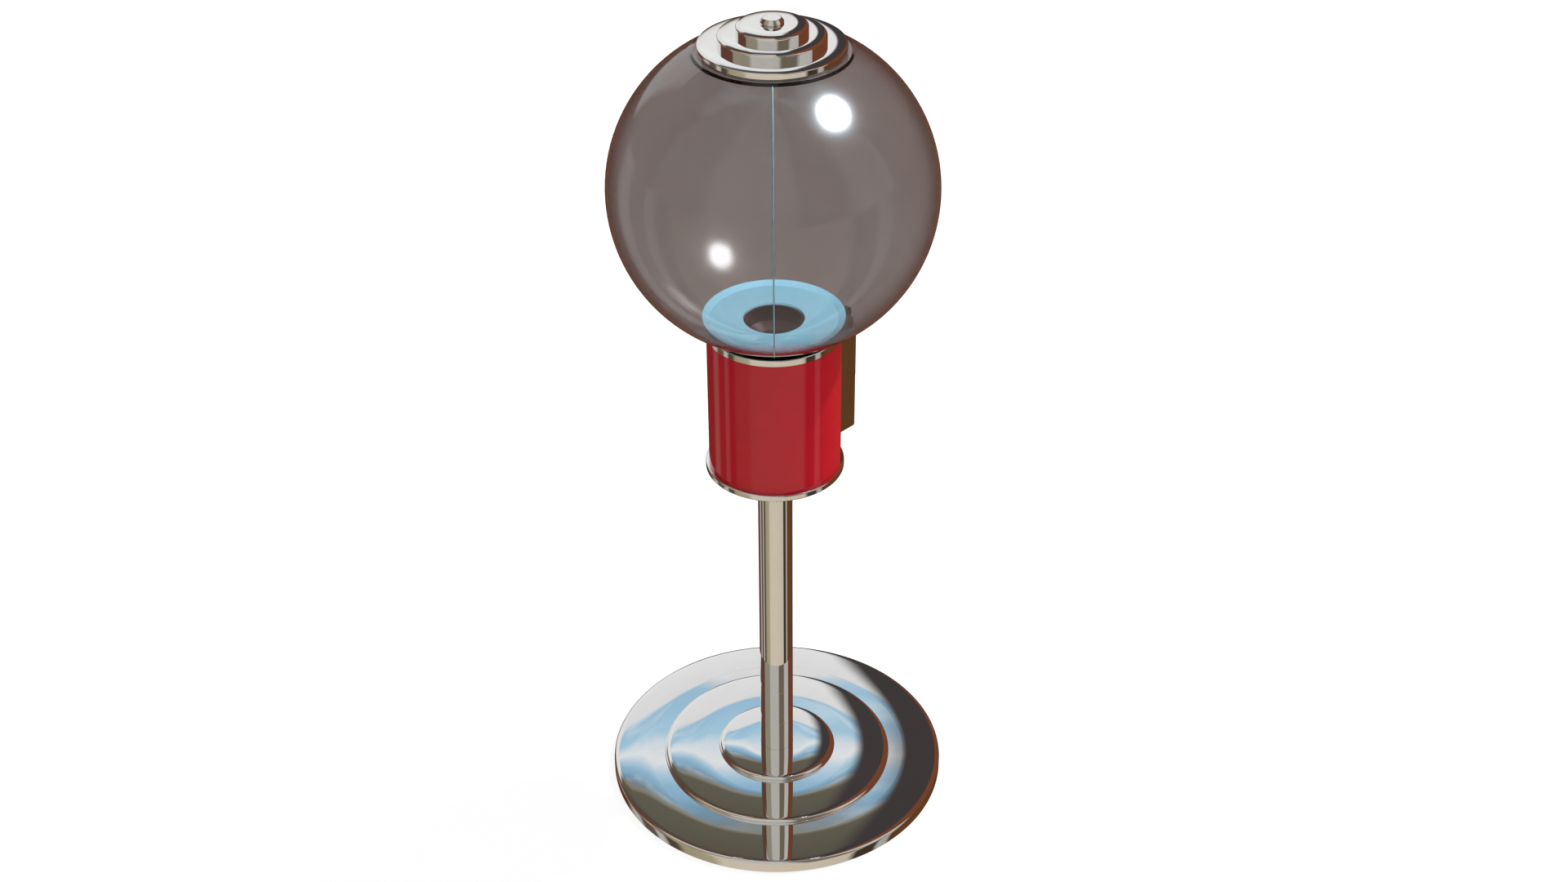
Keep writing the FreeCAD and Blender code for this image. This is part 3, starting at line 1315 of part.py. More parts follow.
# Chute: a sloping covered trough from under the drum to the outlet, standing on one leg at the back.
def chute():
    body = new_body("chute")
    slope = f"(chute_fall / ({CHUTE_FRONT} + chute_back))"
    back_floor = f"({OUTLET_BOTTOM} + chute_fall)"
    back_face = "(chute_back + chute_wall)"
    side = outline(new_sketch(body, "YZ_Plane"), [
        (f"-{CHUTE_FRONT}", f"{OUTLET_BOTTOM} - chute_wall"),
        (back_face, f"{back_floor} - chute_wall"),
        (back_face, CHUTE_ROOF),
        (f"-{CHUTE_FRONT}", CHUTE_ROOF),
    ])
    pad(body, side, f"{CHUTE_HALF_WIDTH} * 2", symmetric=True)
    run = outline(new_sketch(body, "YZ_Plane"), [
        (f"-{CHUTE_FRONT} - fuse_bite", f"{OUTLET_BOTTOM} - {slope} * fuse_bite"),
        ("chute_back", back_floor),
        ("chute_back", OUTLET_TOP),
        (f"-{CHUTE_FRONT} - fuse_bite", OUTLET_TOP),
    ])
    pocket(body, run, "outlet_half_width * 2", symmetric=True)
    inlet = rectangle(new_sketch(body, "XY_Plane", out=CHUTE_ROOF), "-outlet_half_width", "-chute_back",
                      "outlet_half_width", "chute_back")
    pocket(body, inlet, "chute_wall")
    leg = rectangle(new_sketch(body, "XY_Plane", out=BODY_BOTTOM), "-chute_leg_half_width",
                    f"{back_face} - chute_leg_depth", "chute_leg_half_width", back_face)
    pad(body, leg, f"{back_floor} - chute_wall - {BODY_BOTTOM}")
    return body


def lid_gasket():
    return ring("lid_gasket", f"{LID_SPIGOT} + slip_fit", f"{LID_RADIUS} - lid_skirt - slip_fit",
                GLOBE_MOUTH, "lid_gasket_thickness")


def globe_gasket():
    return ring("globe_gasket", "globe_foot_radius - gasket_width", "globe_foot_radius - gasket_inset",
                COLLAR_TOP, "gasket_thickness")


def pole_tube():
    return ring("pole_tube", "pole_radius - pole_wall", "pole_radius", POLE_FOOT, "pole_length")


def tie_rod():
    foot = f"({LOWER_NUT} - thread_gap)"
    item = upright("tie_rod", "rod_radius", foot, f"{ROD_TOP} - {foot}")
    item.Label = "tie_rod"
    return item


pieces = [
    base_casting(),
    base_pads(),
    pole_tube(),
    tie_rod(),
    tie_rod_nuts(),
    tie_rod_washers(),
    bottom_flange(),
    body_shell(),
    top_collar(),
    stay_bolts(),
    stay_nuts(),
    globe_gasket(),
    *globe_halves(),
    plate_seal(),
    hopper_plate(),
    throat_nut(),
    drum_cover(),
    feed_funnel(),
    drum_cradle(),
    drum_bushes(),
    dispensing_drum(),
    drive_shaft(),
    drum_pin(),
    shaft_clip(),
    mech_housing(),
    housing_screws(),
    coin_wheel(),
    coin_plate(),
    plate_screws(),
    plate_bush(),
    turn_handle(),
    handle_screw(),
    chute(),
    chute_flap(),
    flap_pin(),
    lid_gasket(),
    lid(),
    lid_rim(),
    lid_spigot(),
    lid_knob(),
    knob_screw(),
]

doc.recompute()
for item in doc.Objects:
    if "Invalid" in item.State or "Error" in item.State:
        raise RuntimeError(f"{item.Name} did not recompute: {item.State}")
for piece in pieces:
    if piece.Shape.isNull() or not piece.Shape.isValid() or not piece.Shape.Solids:
        raise RuntimeError(f"{piece.Label} is not a valid solid")

os.makedirs("parts", exist_ok=True)
for piece in pieces:
    piece.Shape.exportStep(f"parts/{piece.Label}.step")
    print(f"{piece.Label}: {len(piece.Shape.Solids)} solids, {piece.Shape.Volume:.0f} mm3")
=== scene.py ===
"""Pedestal gumball machine: finishes, small trim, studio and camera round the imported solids."""
import math

import bpy
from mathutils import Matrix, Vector


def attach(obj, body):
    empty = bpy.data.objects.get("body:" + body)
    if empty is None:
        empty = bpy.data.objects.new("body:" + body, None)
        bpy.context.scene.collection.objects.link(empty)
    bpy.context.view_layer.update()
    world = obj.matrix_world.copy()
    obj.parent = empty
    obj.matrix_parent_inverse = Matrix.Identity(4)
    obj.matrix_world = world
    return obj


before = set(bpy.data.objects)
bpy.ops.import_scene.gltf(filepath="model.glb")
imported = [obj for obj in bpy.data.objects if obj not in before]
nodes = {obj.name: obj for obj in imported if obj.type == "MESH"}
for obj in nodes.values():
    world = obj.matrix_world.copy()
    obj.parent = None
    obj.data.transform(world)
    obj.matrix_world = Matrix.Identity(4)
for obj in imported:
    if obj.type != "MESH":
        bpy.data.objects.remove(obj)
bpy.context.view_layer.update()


# Base: a hollow casting in three low steps, polished and chrome plated.
# The plate is bright all over, with faint haze and wipe marks left from cleaning.
def new_group(name, inputs, outputs):
    """An empty shader group with its sockets, and its two end nodes."""
    tree = bpy.data.node_groups.new(name, "ShaderNodeTree")
    for label, kind, value in inputs:
        socket = tree.interface.new_socket(label, in_out="INPUT", socket_type=kind)
        socket.default_value = value
    for label, kind in outputs:
        tree.interface.new_socket(label, in_out="OUTPUT", socket_type=kind)
    return tree, tree.nodes.new("NodeGroupInput"), tree.nodes.new("NodeGroupOutput")


def add(tree, kind, links=(), **settings):
    """A node with its settings, and its inputs as (socket, value or output) pairs."""
    node = tree.nodes.new(kind)
    for name, value in settings.items():
        setattr(node, name, value)
    for socket, value in links:
        if isinstance(value, bpy.types.NodeSocket):
            tree.links.new(value, node.inputs[socket])
        else:
            node.inputs[socket].default_value = value
    return node


def ramp(tree, factor, stops):
    """A colour ramp through (place, colour) stops."""
    node = add(tree, "ShaderNodeValToRGB", [("Fac", factor)])
    elements = node.color_ramp.elements
    while len(elements) < len(stops):
        elements.new(0.5)
    for element, (place, colour) in zip(elements, stops):
        element.position = place
        element.color = (*colour, 1)
    return node.outputs["Color"]


def wipe_marks_group():
    """Haze in soft patches, fine hairlines and a slow wave, for colour, roughness and relief."""
    number = "NodeSocketFloat"
    tree, start, end = new_group(
        "wipe_marks",
        [("Patch Scale", number, 14), ("Hairline Scale", number, 160),
         ("Low Roughness", number, 0.03), ("High Roughness", number, 0.1)],
        [("Mask", number), ("Roughness", number), ("Height", number), ("Wave", number)])
    place = add(tree, "ShaderNodeTexCoord").outputs["Object"]
    patch = add(tree, "ShaderNodeTexNoise", [
        ("Vector", place), ("Scale", start.outputs["Patch Scale"]), ("Detail", 4), ("Roughness", 0.6)])
    stretched = add(tree, "ShaderNodeMapping", [
        ("Vector", place), ("Rotation", (0.3, 0.5, 0.8)), ("Scale", (1, 0.08, 1))])
    hairline = add(tree, "ShaderNodeTexNoise", [
        ("Vector", stretched.outputs["Vector"]), ("Scale", start.outputs["Hairline Scale"]), ("Detail", 2)])
    both = add(tree, "ShaderNodeMath", [(0, patch.outputs["Fac"]), (1, hairline.outputs["Fac"])],
               operation="MULTIPLY")
    mask = add(tree, "ShaderNodeMapRange", [
        ("Value", both.outputs["Value"]), ("From Min", 0.15), ("From Max", 0.42)])
    rough = add(tree, "ShaderNodeMapRange", [
        ("Value", mask.outputs["Result"]), ("To Min", start.outputs["Low Roughness"]),
        ("To Max", start.outputs["High Roughness"])])
    slow = add(tree, "ShaderNodeTexNoise", [("Vector", place), ("Scale", 22), ("Detail", 0)])
    tree.links.new(mask.outputs["Result"], end.inputs["Mask"])
    tree.links.new(rough.outputs["Result"], end.inputs["Roughness"])
    tree.links.new(hairline.outputs["Fac"], end.inputs["Height"])
    tree.links.new(slow.outputs["Fac"], end.inputs["Wave"])
    return tree


wipe_marks = wipe_marks_group()


def new_material(name, **sockets):
    """A material, its tree and its shader, with constant values set on the shader's own sockets."""
    material = bpy.data.materials.new(name)
    material.use_nodes = True
    shader = material.node_tree.nodes["Principled BSDF"]
    for socket, value in sockets.items():
        shader.inputs[socket.replace("_", " ")].default_value = value
    return material, material.node_tree, shader


def use_group(tree, group, **values):
    """A group placed in a material, with its own values."""
    node = tree.nodes.new("ShaderNodeGroup")
    node.node_tree = group
    for socket, value in values.items():
        node.inputs[socket.replace("_", " ")].default_value = value
    return node


def marked_finish(name, clean, hazed, rough, patch_scale=14, bump=0.02, depth=0.0002, height="Height", **sockets):
    """A finish whose colour and roughness drift a little with the wipe marks."""
    material, tree, shader = new_material(name, **sockets)
    low, high = rough
    marks = use_group(tree, wipe_marks, Patch_Scale=patch_scale, Low_Roughness=low, High_Roughness=high)
    colour = ramp(tree, marks.outputs["Mask"], [(0, clean), (1, hazed)])
    tree.links.new(colour, shader.inputs["Base Color"])
    tree.links.new(marks.outputs["Roughness"], shader.inputs["Roughness"])
    relief = add(tree, "ShaderNodeBump", [
        ("Height", marks.outputs[height]), ("Strength", bump), ("Distance", depth)])
    tree.links.new(relief.outputs["Normal"], shader.inputs["Normal"])
    return material


def dress(material, *names):
    """Give these nodes their finish."""
    for name in names:
        mesh = nodes[name].data
        mesh.materials.clear()
        mesh.materials.append(material)


chrome = marked_finish("chrome_plate", clean=(0.87, 0.86, 0.85), hazed=(0.84, 0.83, 0.82), rough=(0.004, 0.022),
                       bump=0.06, height="Wave", Metallic=1)
dress(chrome, "base_casting")


# Base edges: a rolled chrome edge on each step, which crowns the step and eases it into its riser.
# Each is drawn out of one circle: crown, roll, riser and a small bead at the foot, closed underneath.
CROWN_SLOPE = 0.045
EDGE_SPOKES = 256
EDGE_STEPS = 12
EDGE_WALL = 0.002
EDGE_DEPTH = 0.003
EDGE_LIP = 0.0006
MERGE_DISTANCE = 0.000002
SMOOTH_ANGLE = math.radians(40)


def rolled_edge(name, radius, start, top, foot, roll, bead):
    """A ring over a step's edge; the crown begins at start, roll and bead are a width and a height."""
    roll_width, roll_height = roll
    bead_width, bead_height = bead
    lead = math.atan(CROWN_SLOPE * roll_width / roll_height)
    crown_end = radius - roll_width * (1 - math.sin(lead))
    drop = CROWN_SLOPE * (crown_end - start) / 2
    shares = [step / EDGE_STEPS for step in range(EDGE_STEPS + 1)]
    turns = [lead + (math.pi / 2 - lead) * share for share in shares]
    profile = [(start + (crown_end - start) * share, top - drop * share ** 2) for share in shares]
    profile += [(crown_end + roll_width * (math.sin(turn) - math.sin(lead)),
                 top - drop - roll_height * (math.cos(lead) - math.cos(turn))) for turn in turns[1:]]
    profile += [(radius + bead_width * math.sin(math.pi / 2 * share),
                 foot + bead_height * math.cos(math.pi / 2 * share)) for share in shares[::2]]
    profile += [(radius - EDGE_WALL, foot), (radius - EDGE_WALL, top - EDGE_DEPTH), (start, top - EDGE_LIP),
                profile[0]]
    bpy.ops.object.select_all(action="DESELECT")
    bpy.ops.mesh.primitive_circle_add(vertices=EDGE_SPOKES, radius=start, fill_type="NOTHING",
                                      location=(0, 0, top))
    bpy.ops.object.transform_apply(location=True, rotation=True, scale=True)
    edge = bpy.context.active_object
    edge.name = name
    bpy.ops.object.mode_set(mode="EDIT")
    bpy.ops.mesh.select_all(action="SELECT")
    for (last, low), (wide, high) in zip(profile, profile[1:]):
        bpy.ops.mesh.extrude_region_move(TRANSFORM_OT_translate={"value": (0, 0, high - low)})
        bpy.ops.transform.resize(value=(wide / last, wide / last, 1), center_override=(0, 0, 0))
    bpy.ops.mesh.select_all(action="SELECT")
    bpy.ops.mesh.remove_doubles(threshold=MERGE_DISTANCE)
    bpy.ops.mesh.normals_make_consistent(inside=False)
    bpy.ops.object.mode_set(mode="OBJECT")
    bpy.ops.object.shade_smooth_by_angle(angle=SMOOTH_ANGLE)
    edge.data.materials.append(chrome)
    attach(edge, "frame")


rolled_edge("base_edge", radius=0.1603, start=0.1240, top=0.01355, foot=0.0012,
            roll=(0.0055, 0.0030), bead=(0.0, 0.0030))
rolled_edge("mid_edge", radius=0.1088, start=0.0715, top=0.01855, foot=0.01348,
            roll=(0.0050, 0.0022), bead=(0.0014, 0.0011))
rolled_edge("top_edge", radius=0.0553, start=0.0265, top=0.02355, foot=0.01848,
            roll=(0.0045, 0.0022), bead=(0.0014, 0.0011))


# Pads: black rubber discs pressed into bosses under the base.
# They are matt, with a fine moulded grain.
rubber = marked_finish("black_rubber", clean=(0.018, 0.018, 0.019), hazed=(0.05, 0.05, 0.048), rough=(0.62, 0.82),
                       patch_scale=60, bump=0.25, depth=0.0006)
dress(rubber, "base_pads")


# Pole: chromed tube, clamped between base and body by a threaded rod inside it.
# The rod, its nuts and washers are zinc plated steel.
dress(chrome, "pole_tube")
steel = marked_finish("zinc_steel", clean=(0.60, 0.60, 0.59), hazed=(0.46, 0.46, 0.44), rough=(0.22, 0.42),
                      patch_scale=90, bump=0.08, Metallic=1)
dress(steel, "tie_rod", "tie_rod_nuts", "tie_rod_washers")


# Bottom flange: chromed disc with a hub that takes the head of the pole.
# Four long steel bolts rise from it through the body to the collar.
dress(chrome, "bottom_flange")
dress(steel, "stay_bolts", "stay_nuts")


# Body: a rolled steel drum in deep red stove enamel under a clear gloss coat.
# The coat has a faint orange peel, and the colour is a little deeper where it lies thick.
THIN_RED = (0.43, 0.009, 0.019)
THICK_RED = (0.39, 0.009, 0.019)


def red_enamel():
    """Red under a clear coat, with the peel as a fine relief."""
    material, tree, shader = new_material("red_enamel", Coat_Weight=0.9, Coat_Roughness=0.02, Coat_IOR=1.5,
                                          Specular_IOR_Level=0.0)
    marks = use_group(tree, wipe_marks, Patch_Scale=22, Low_Roughness=0.2, High_Roughness=0.32)
    colour = ramp(tree, marks.outputs["Mask"], [(0, THIN_RED), (1, THICK_RED)])
    tree.links.new(colour, shader.inputs["Base Color"])
    tree.links.new(marks.outputs["Roughness"], shader.inputs["Roughness"])
    place = add(tree, "ShaderNodeTexCoord").outputs["Object"]
    peel = add(tree, "ShaderNodeTexNoise", [("Vector", place), ("Scale", 150), ("Detail", 1)])
    relief = add(tree, "ShaderNodeBump", [
        ("Height", peel.outputs["Fac"]), ("Strength", 0.03), ("Distance", 0.0002)])
    tree.links.new(relief.outputs["Normal"], shader.inputs["Normal"])
    return material


red = red_enamel()
dress(red, "body_shell")


# Top collar: chromed ring and bulkhead that closes the drum.
# A thin rubber ring seals the globe's foot on it.
dress(chrome, "top_collar")
dress(rubber, "globe_gasket", "plate_seal")


# Globe: two blown halves of lightly smoked clear plastic, bonded along an upright seam.
# The surface is glossy, with faint smears; seen edge on, the wall turns dark brown, partly from the longer path
# through the smoke and partly as a painted reflection of the brown walls.
LIGHT_SMOKE = (0.395, 0.36, 0.35)
DEEP_SMOKE = (0.36, 0.32, 0.31)
RIM_SMOKE_AND_REFLECTION = (0.06, 0.016, 0.009, 1)
LET_THROUGH = (0.66, 0.65, 0.64, 1)


def smoked_clear():
    """Clear plastic with a soft coat on its air side, which lets lamp light straight through."""
    material, tree, shader = new_material("smoked_clear", Transmission_Weight=1.0, IOR=1.40, Coat_Roughness=0.16,
                                          Coat_IOR=1.4)
    place = add(tree, "ShaderNodeTexCoord").outputs["Object"]
    smear = add(tree, "ShaderNodeTexNoise", [("Vector", place), ("Scale", 9), ("Detail", 3)])
    colour = ramp(tree, smear.outputs["Fac"], [(0.3, LIGHT_SMOKE), (0.7, DEEP_SMOKE)])
    # Towards the silhouette the colour goes to dark brown: the longer path through the wall, and a painted reflection
    # of the brown walls.
    facing = add(tree, "ShaderNodeLayerWeight", [("Blend", 0.5)]).outputs["Facing"]
    edge = add(tree, "ShaderNodeMapRange", [("Value", facing), ("From Min", 0.50), ("From Max", 0.88)],
               interpolation_type="SMOOTHSTEP")
    tint = add(tree, "ShaderNodeMix", [("Factor", edge.outputs["Result"]), (6, colour), (7, RIM_SMOKE_AND_REFLECTION)],
               data_type="RGBA")
    rough = add(tree, "ShaderNodeMapRange", [
        ("Value", smear.outputs["Fac"]), ("From Min", 0.35), ("From Max", 0.75), ("To Min", 0.0), ("To Max", 0.02)])
    tree.links.new(tint.outputs[2], shader.inputs["Base Color"])
    tree.links.new(rough.outputs["Result"], shader.inputs["Roughness"])
    inside = add(tree, "ShaderNodeNewGeometry").outputs["Backfacing"]
    coat = add(tree, "ShaderNodeMapRange", [("Value", inside), ("To Min", 0.3), ("To Max", 0.0)])
    tree.links.new(coat.outputs["Result"], shader.inputs["Coat Weight"])
    clear = add(tree, "ShaderNodeBsdfTransparent", [("Color", LET_THROUGH)])
    path = add(tree, "ShaderNodeLightPath")
    straight = add(tree, "ShaderNodeMath", [
        (0, path.outputs["Is Shadow Ray"]), (1, path.outputs["Is Diffuse Ray"])], operation="MAXIMUM")
    mix = add(tree, "ShaderNodeMixShader", [
        ("Fac", straight.outputs["Value"]), (1, shader.outputs["BSDF"]), (2, clear.outputs["BSDF"])])
    tree.links.new(mix.outputs["Shader"], tree.nodes["Material Output"].inputs["Surface"])
    return material


dress(smoked_clear(), "globe_front", "globe_back")


# Globe seam: the fine bead of cement that stands proud where the two halves meet.
# A thin ring round the globe, cut off where the lid and the collar cover it.
GLOBE_RADIUS = 0.140
GLOBE_MIDDLE = (0, 0, 0.6286)
SEAM_THICKNESS = 0.0006
SEAM_HEAD = 0.7515
SEAM_FOOT = 0.5020
CEMENT = (0.16, 0.27, 0.30, 1)


def globe_seam():
    bpy.ops.object.select_all(action="DESELECT")
    bpy.ops.mesh.primitive_torus_add(major_radius=GLOBE_RADIUS, minor_radius=SEAM_THICKNESS, major_segments=256,
                                     minor_segments=8, location=GLOBE_MIDDLE,
                                     rotation=(math.pi / 2, 0, -math.pi / 4))
    bpy.ops.object.transform_apply(location=True, rotation=True, scale=True)
    bead = bpy.context.active_object
    bead.name = "globe_seam"
    bpy.ops.object.mode_set(mode="EDIT")
    for height, way in ((SEAM_HEAD, 1), (SEAM_FOOT, -1)):
        bpy.ops.mesh.select_all(action="SELECT")
        bpy.ops.mesh.bisect(plane_co=(0, 0, height), plane_no=(0, 0, way), use_fill=True, clear_outer=True)
    bpy.ops.object.mode_set(mode="OBJECT")
    bpy.ops.object.shade_smooth()
    material, _, _ = new_material("seam_cement", Base_Color=CEMENT, Roughness=0.25)
    bead.data.materials.append(material)
    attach(bead, "frame")


globe_seam()


# Hopper plate: spun plate in gloss enamel that funnels the balls into the throat; its pale blue is a painted
# reflection of the sky.
# Its threaded throat and a brass ring nut clamp the globe to the collar.
blue_enamel = marked_finish("blue_enamel", clean=(0.31, 0.73, 0.98), hazed=(0.28, 0.67, 0.93), rough=(0.12, 0.25),
                            patch_scale=30, bump=0.01, Coat_Weight=0.6, Coat_Roughness=0.04)
dress(blue_enamel, "hopper_plate")
brass = marked_finish("turned_brass", clean=(0.74, 0.52, 0.22), hazed=(0.56, 0.37, 0.14), rough=(0.18, 0.36),
                      patch_scale=70, bump=0.06, Metallic=1)
dress(brass, "throat_nut")


# Drum case: two mouldings in maroon plastic that close round the drum, with a funnel over the upper one.
# The drum between them is the same plastic, and runs in brass bushes.
maroon = marked_finish("maroon_plastic", clean=(0.085, 0.012, 0.035), hazed=(0.11, 0.018, 0.045), rough=(0.3, 0.46),
                       patch_scale=45, bump=0.12, depth=0.0005, Specular_IOR_Level=0.15)
dress(maroon, "drum_cover", "feed_funnel", "drum_cradle", "dispensing_drum")
dress(brass, "drum_bushes")


# Drive shaft: steel rod from the handle to the drum, with the brass coin wheel behind the face plate.
# A pin drives the drum, and a clip behind the case keeps the shaft in.
dress(steel, "drive_shaft", "drum_pin", "shaft_clip")
dress(brass, "coin_wheel")


# Housing: chromed die casting on the front of the body, with the coin slot in its top.
# The face plate on it is chromed sheet with a raised dial ring, held by screws.
dress(chrome, "mech_housing", "coin_plate")
dress(steel, "housing_screws", "plate_screws")
dress(brass, "plate_bush")


# Slot bezel: a chromed surround with eased edges, pressed on round the coin slot in the housing's top.
# A flat ring of four faces, raised and rounded over.
BEZEL_PLACE = (0, -0.0689, 0.4821)
BEZEL_LENGTH = 0.030
BEZEL_WIDTH = 0.0076
BEZEL_BORDER = 0.0020
BEZEL_HEIGHT = 0.0012
BEZEL_ROUNDING = 0.0005


def slot_bezel():
    bpy.ops.object.select_all(action="DESELECT")
    bpy.ops.mesh.primitive_plane_add(size=1, location=BEZEL_PLACE)
    bezel = bpy.context.active_object
    bezel.name = "slot_bezel"
    bezel.scale = (BEZEL_LENGTH, BEZEL_WIDTH, 1)
    bpy.ops.object.transform_apply(location=True, rotation=True, scale=True)
    bpy.ops.object.mode_set(mode="EDIT")
    bpy.ops.mesh.select_all(action="SELECT")
    bpy.ops.mesh.inset(thickness=BEZEL_BORDER)
    bpy.ops.mesh.delete(type="FACE")
    bpy.ops.mesh.select_all(action="SELECT")
    bpy.ops.mesh.extrude_region_move(TRANSFORM_OT_translate={"value": (0, 0, BEZEL_HEIGHT)})
    bpy.ops.mesh.select_all(action="SELECT")
    bpy.ops.mesh.normals_make_consistent(inside=False)
    bpy.ops.object.mode_set(mode="OBJECT")
    rounding = bezel.modifiers.new("rounding", "BEVEL")
    rounding.width = BEZEL_ROUNDING
    rounding.segments = 4
    bpy.ops.object.modifier_apply(modifier="rounding")
    bpy.ops.object.shade_smooth_by_angle(angle=SMOOTH_ANGLE)
    bezel.data.materials.append(chrome)
    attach(bezel, "frame")


slot_bezel()


# Turn arrow: a raised red bead on the face plate, curving clockwise over the dial to a flattened point.
# A slim ring cut off level above the dial, with a cone at its end.
DIAL_MIDDLE = (0, -0.0760, 0.4480)
ARROW_RADIUS = 0.0243
ARROW_THICKNESS = 0.0008
ARROW_CUT = 0.4636
POINT_PLACE = (0.0199, -0.0760, 0.4622)
POINT_RADIUS = 0.0021
POINT_LENGTH = 0.0052
POINT_TURN = math.radians(140)
POINT_FLATNESS = 0.45


def turn_arrow():
    bpy.ops.object.select_all(action="DESELECT")
    bpy.ops.mesh.primitive_torus_add(major_radius=ARROW_RADIUS, minor_radius=ARROW_THICKNESS, major_segments=96,
                                     minor_segments=12, location=DIAL_MIDDLE, rotation=(math.pi / 2, 0, 0))
    bead = bpy.context.active_object
    bead.name = "turn_arrow"
    bpy.ops.object.transform_apply(location=True, rotation=True, scale=True)
    bpy.ops.object.mode_set(mode="EDIT")
    bpy.ops.mesh.select_all(action="SELECT")
    bpy.ops.mesh.bisect(plane_co=(0, 0, ARROW_CUT), plane_no=(0, 0, 1), use_fill=True, clear_inner=True)
    bpy.ops.object.mode_set(mode="OBJECT")
    bpy.ops.object.select_all(action="DESELECT")
    bpy.ops.mesh.primitive_cone_add(vertices=32, radius1=POINT_RADIUS, depth=POINT_LENGTH, location=POINT_PLACE,
                                    rotation=(0, POINT_TURN, 0), scale=(1, POINT_FLATNESS, 1))
    bpy.ops.object.transform_apply(location=True, rotation=True, scale=True)
    bead.select_set(True)
    bpy.context.view_layer.objects.active = bead
    bpy.ops.object.join()
    bpy.ops.object.shade_smooth_by_angle(angle=SMOOTH_ANGLE)
    bead.data.materials.append(red)
    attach(bead, "frame")


turn_arrow()


# Turn handle: chromed casting screwed to the nose of the shaft.
# It turns clockwise seen from the front.
dress(chrome, "turn_handle")
dress(steel, "handle_screw")


# Chute and flap: a moulded trough behind the outlet, and a chromed flap that hangs shut on a steel pin.
# The trough is ivory plastic with a fine grain.
ivory = marked_finish("ivory_plastic", clean=(0.78, 0.75, 0.66), hazed=(0.70, 0.66, 0.57), rough=(0.3, 0.45),
                      patch_scale=40, bump=0.08)
dress(ivory, "chute")
dress(chrome, "chute_flap")
dress(steel, "flap_pin")


# Lid: chromed pressing in three low steps that lifts off, with a rubber ring under its rim.
# A turned knob is screwed on from below.
dress(chrome, "lid", "lid_rim", "lid_spigot", "lid_knob")
dress(rubber, "lid_gasket")
dress(steel, "knob_screw")


# Floor: a plain white sweep that takes the soft shadow of the machine.
# Polished metal looks past it into the room below.
FLOOR_SIZE = 40
FLOOR_GLOW = 0.80
FLOOR_SHADED = (0.32, 0.32, 0.32, 1)
FLOOR_PAINT = (0.8, 0.8, 0.8, 1)
WHITE = (1, 1, 1, 1)


def floor_sheet():
    bpy.ops.object.select_all(action="DESELECT")
    bpy.ops.mesh.primitive_plane_add(size=FLOOR_SIZE)
    sheet = bpy.context.active_object
    sheet.name = "floor"
    bpy.ops.object.mode_set(mode="EDIT")
    bpy.ops.mesh.subdivide(number_cuts=3)
    bpy.ops.object.mode_set(mode="OBJECT")
    sheet.visible_glossy = False
    material = bpy.data.materials.new("floor_white")
    material.use_nodes = True
    tree = material.node_tree
    tree.nodes.remove(tree.nodes["Principled BSDF"])
    glow = add(tree, "ShaderNodeEmission", [("Color", WHITE), ("Strength", FLOOR_GLOW)])
    matt = add(tree, "ShaderNodeBsdfDiffuse", [("Color", FLOOR_SHADED)])
    white = add(tree, "ShaderNodeAddShader", [(0, glow.outputs["Emission"]), (1, matt.outputs["BSDF"])])
    plain = add(tree, "ShaderNodeBsdfDiffuse", [("Color", FLOOR_PAINT)])
    light = add(tree, "ShaderNodeLightPath")
    seen = add(tree, "ShaderNodeMath", [
        (0, light.outputs["Is Camera Ray"]), (1, light.outputs["Is Transmission Ray"])], operation="MAXIMUM")
    final = add(tree, "ShaderNodeMixShader", [
        ("Fac", seen.outputs["Value"]), (1, plain.outputs["BSDF"]), (2, white.outputs["Shader"])])
    tree.links.new(final.outputs["Shader"], tree.nodes["Material Output"].inputs["Surface"])
    sheet.data.materials.append(material)


floor_sheet()


# Room: white to the camera and through the globe, and an even soft fill on every surface.
# Polished metal sees a made-up studio: tall windows with a pale sky ahead, screens behind, dark and brown
# walls at the sides, and a cream floor with posts and panels all round below.
AWAY = (0.7071, -0.7071, 0.0)
RIGHT = (-0.7071, -0.7071, 0.0)
FILL_LIGHT = 0.58

# What stands ahead, by degrees above the horizon.
WINDOWS = [
    # dark skirting and sill
    (0, (0.05, 0.035, 0.025)), (9, (0.08, 0.06, 0.045)), (13, (0.35, 0.33, 0.30)),
    # white blind
    (17, (0.78, 0.78, 0.77)), (27, (0.92, 0.93, 0.93)), (39.75, (0.79, 0.80, 0.81)),
    # lower pane, bar and upper pane
    (40.1, (0.33, 0.56, 0.75)), (41.35, (0.42, 0.65, 0.81)),
    (41.55, (0.84, 0.86, 0.88)), (42.05, (0.84, 0.86, 0.88)),
    (42.25, (0.36, 0.60, 0.78)), (43.1, (0.22, 0.40, 0.56)), (43.5, (0.13, 0.22, 0.30)),
    # olive wall above, with a cream line at its foot
    (43.75, (0.34, 0.32, 0.26)), (44.2, (0.13, 0.12, 0.09)), (58, (0.07, 0.062, 0.045)),
    # brown beam, and white ceiling
    (66, (0.17, 0.065, 0.035)), (75, (0.10, 0.05, 0.03)), (84, (0.75, 0.74, 0.72)), (90, (0.85, 0.84, 0.82)),
]

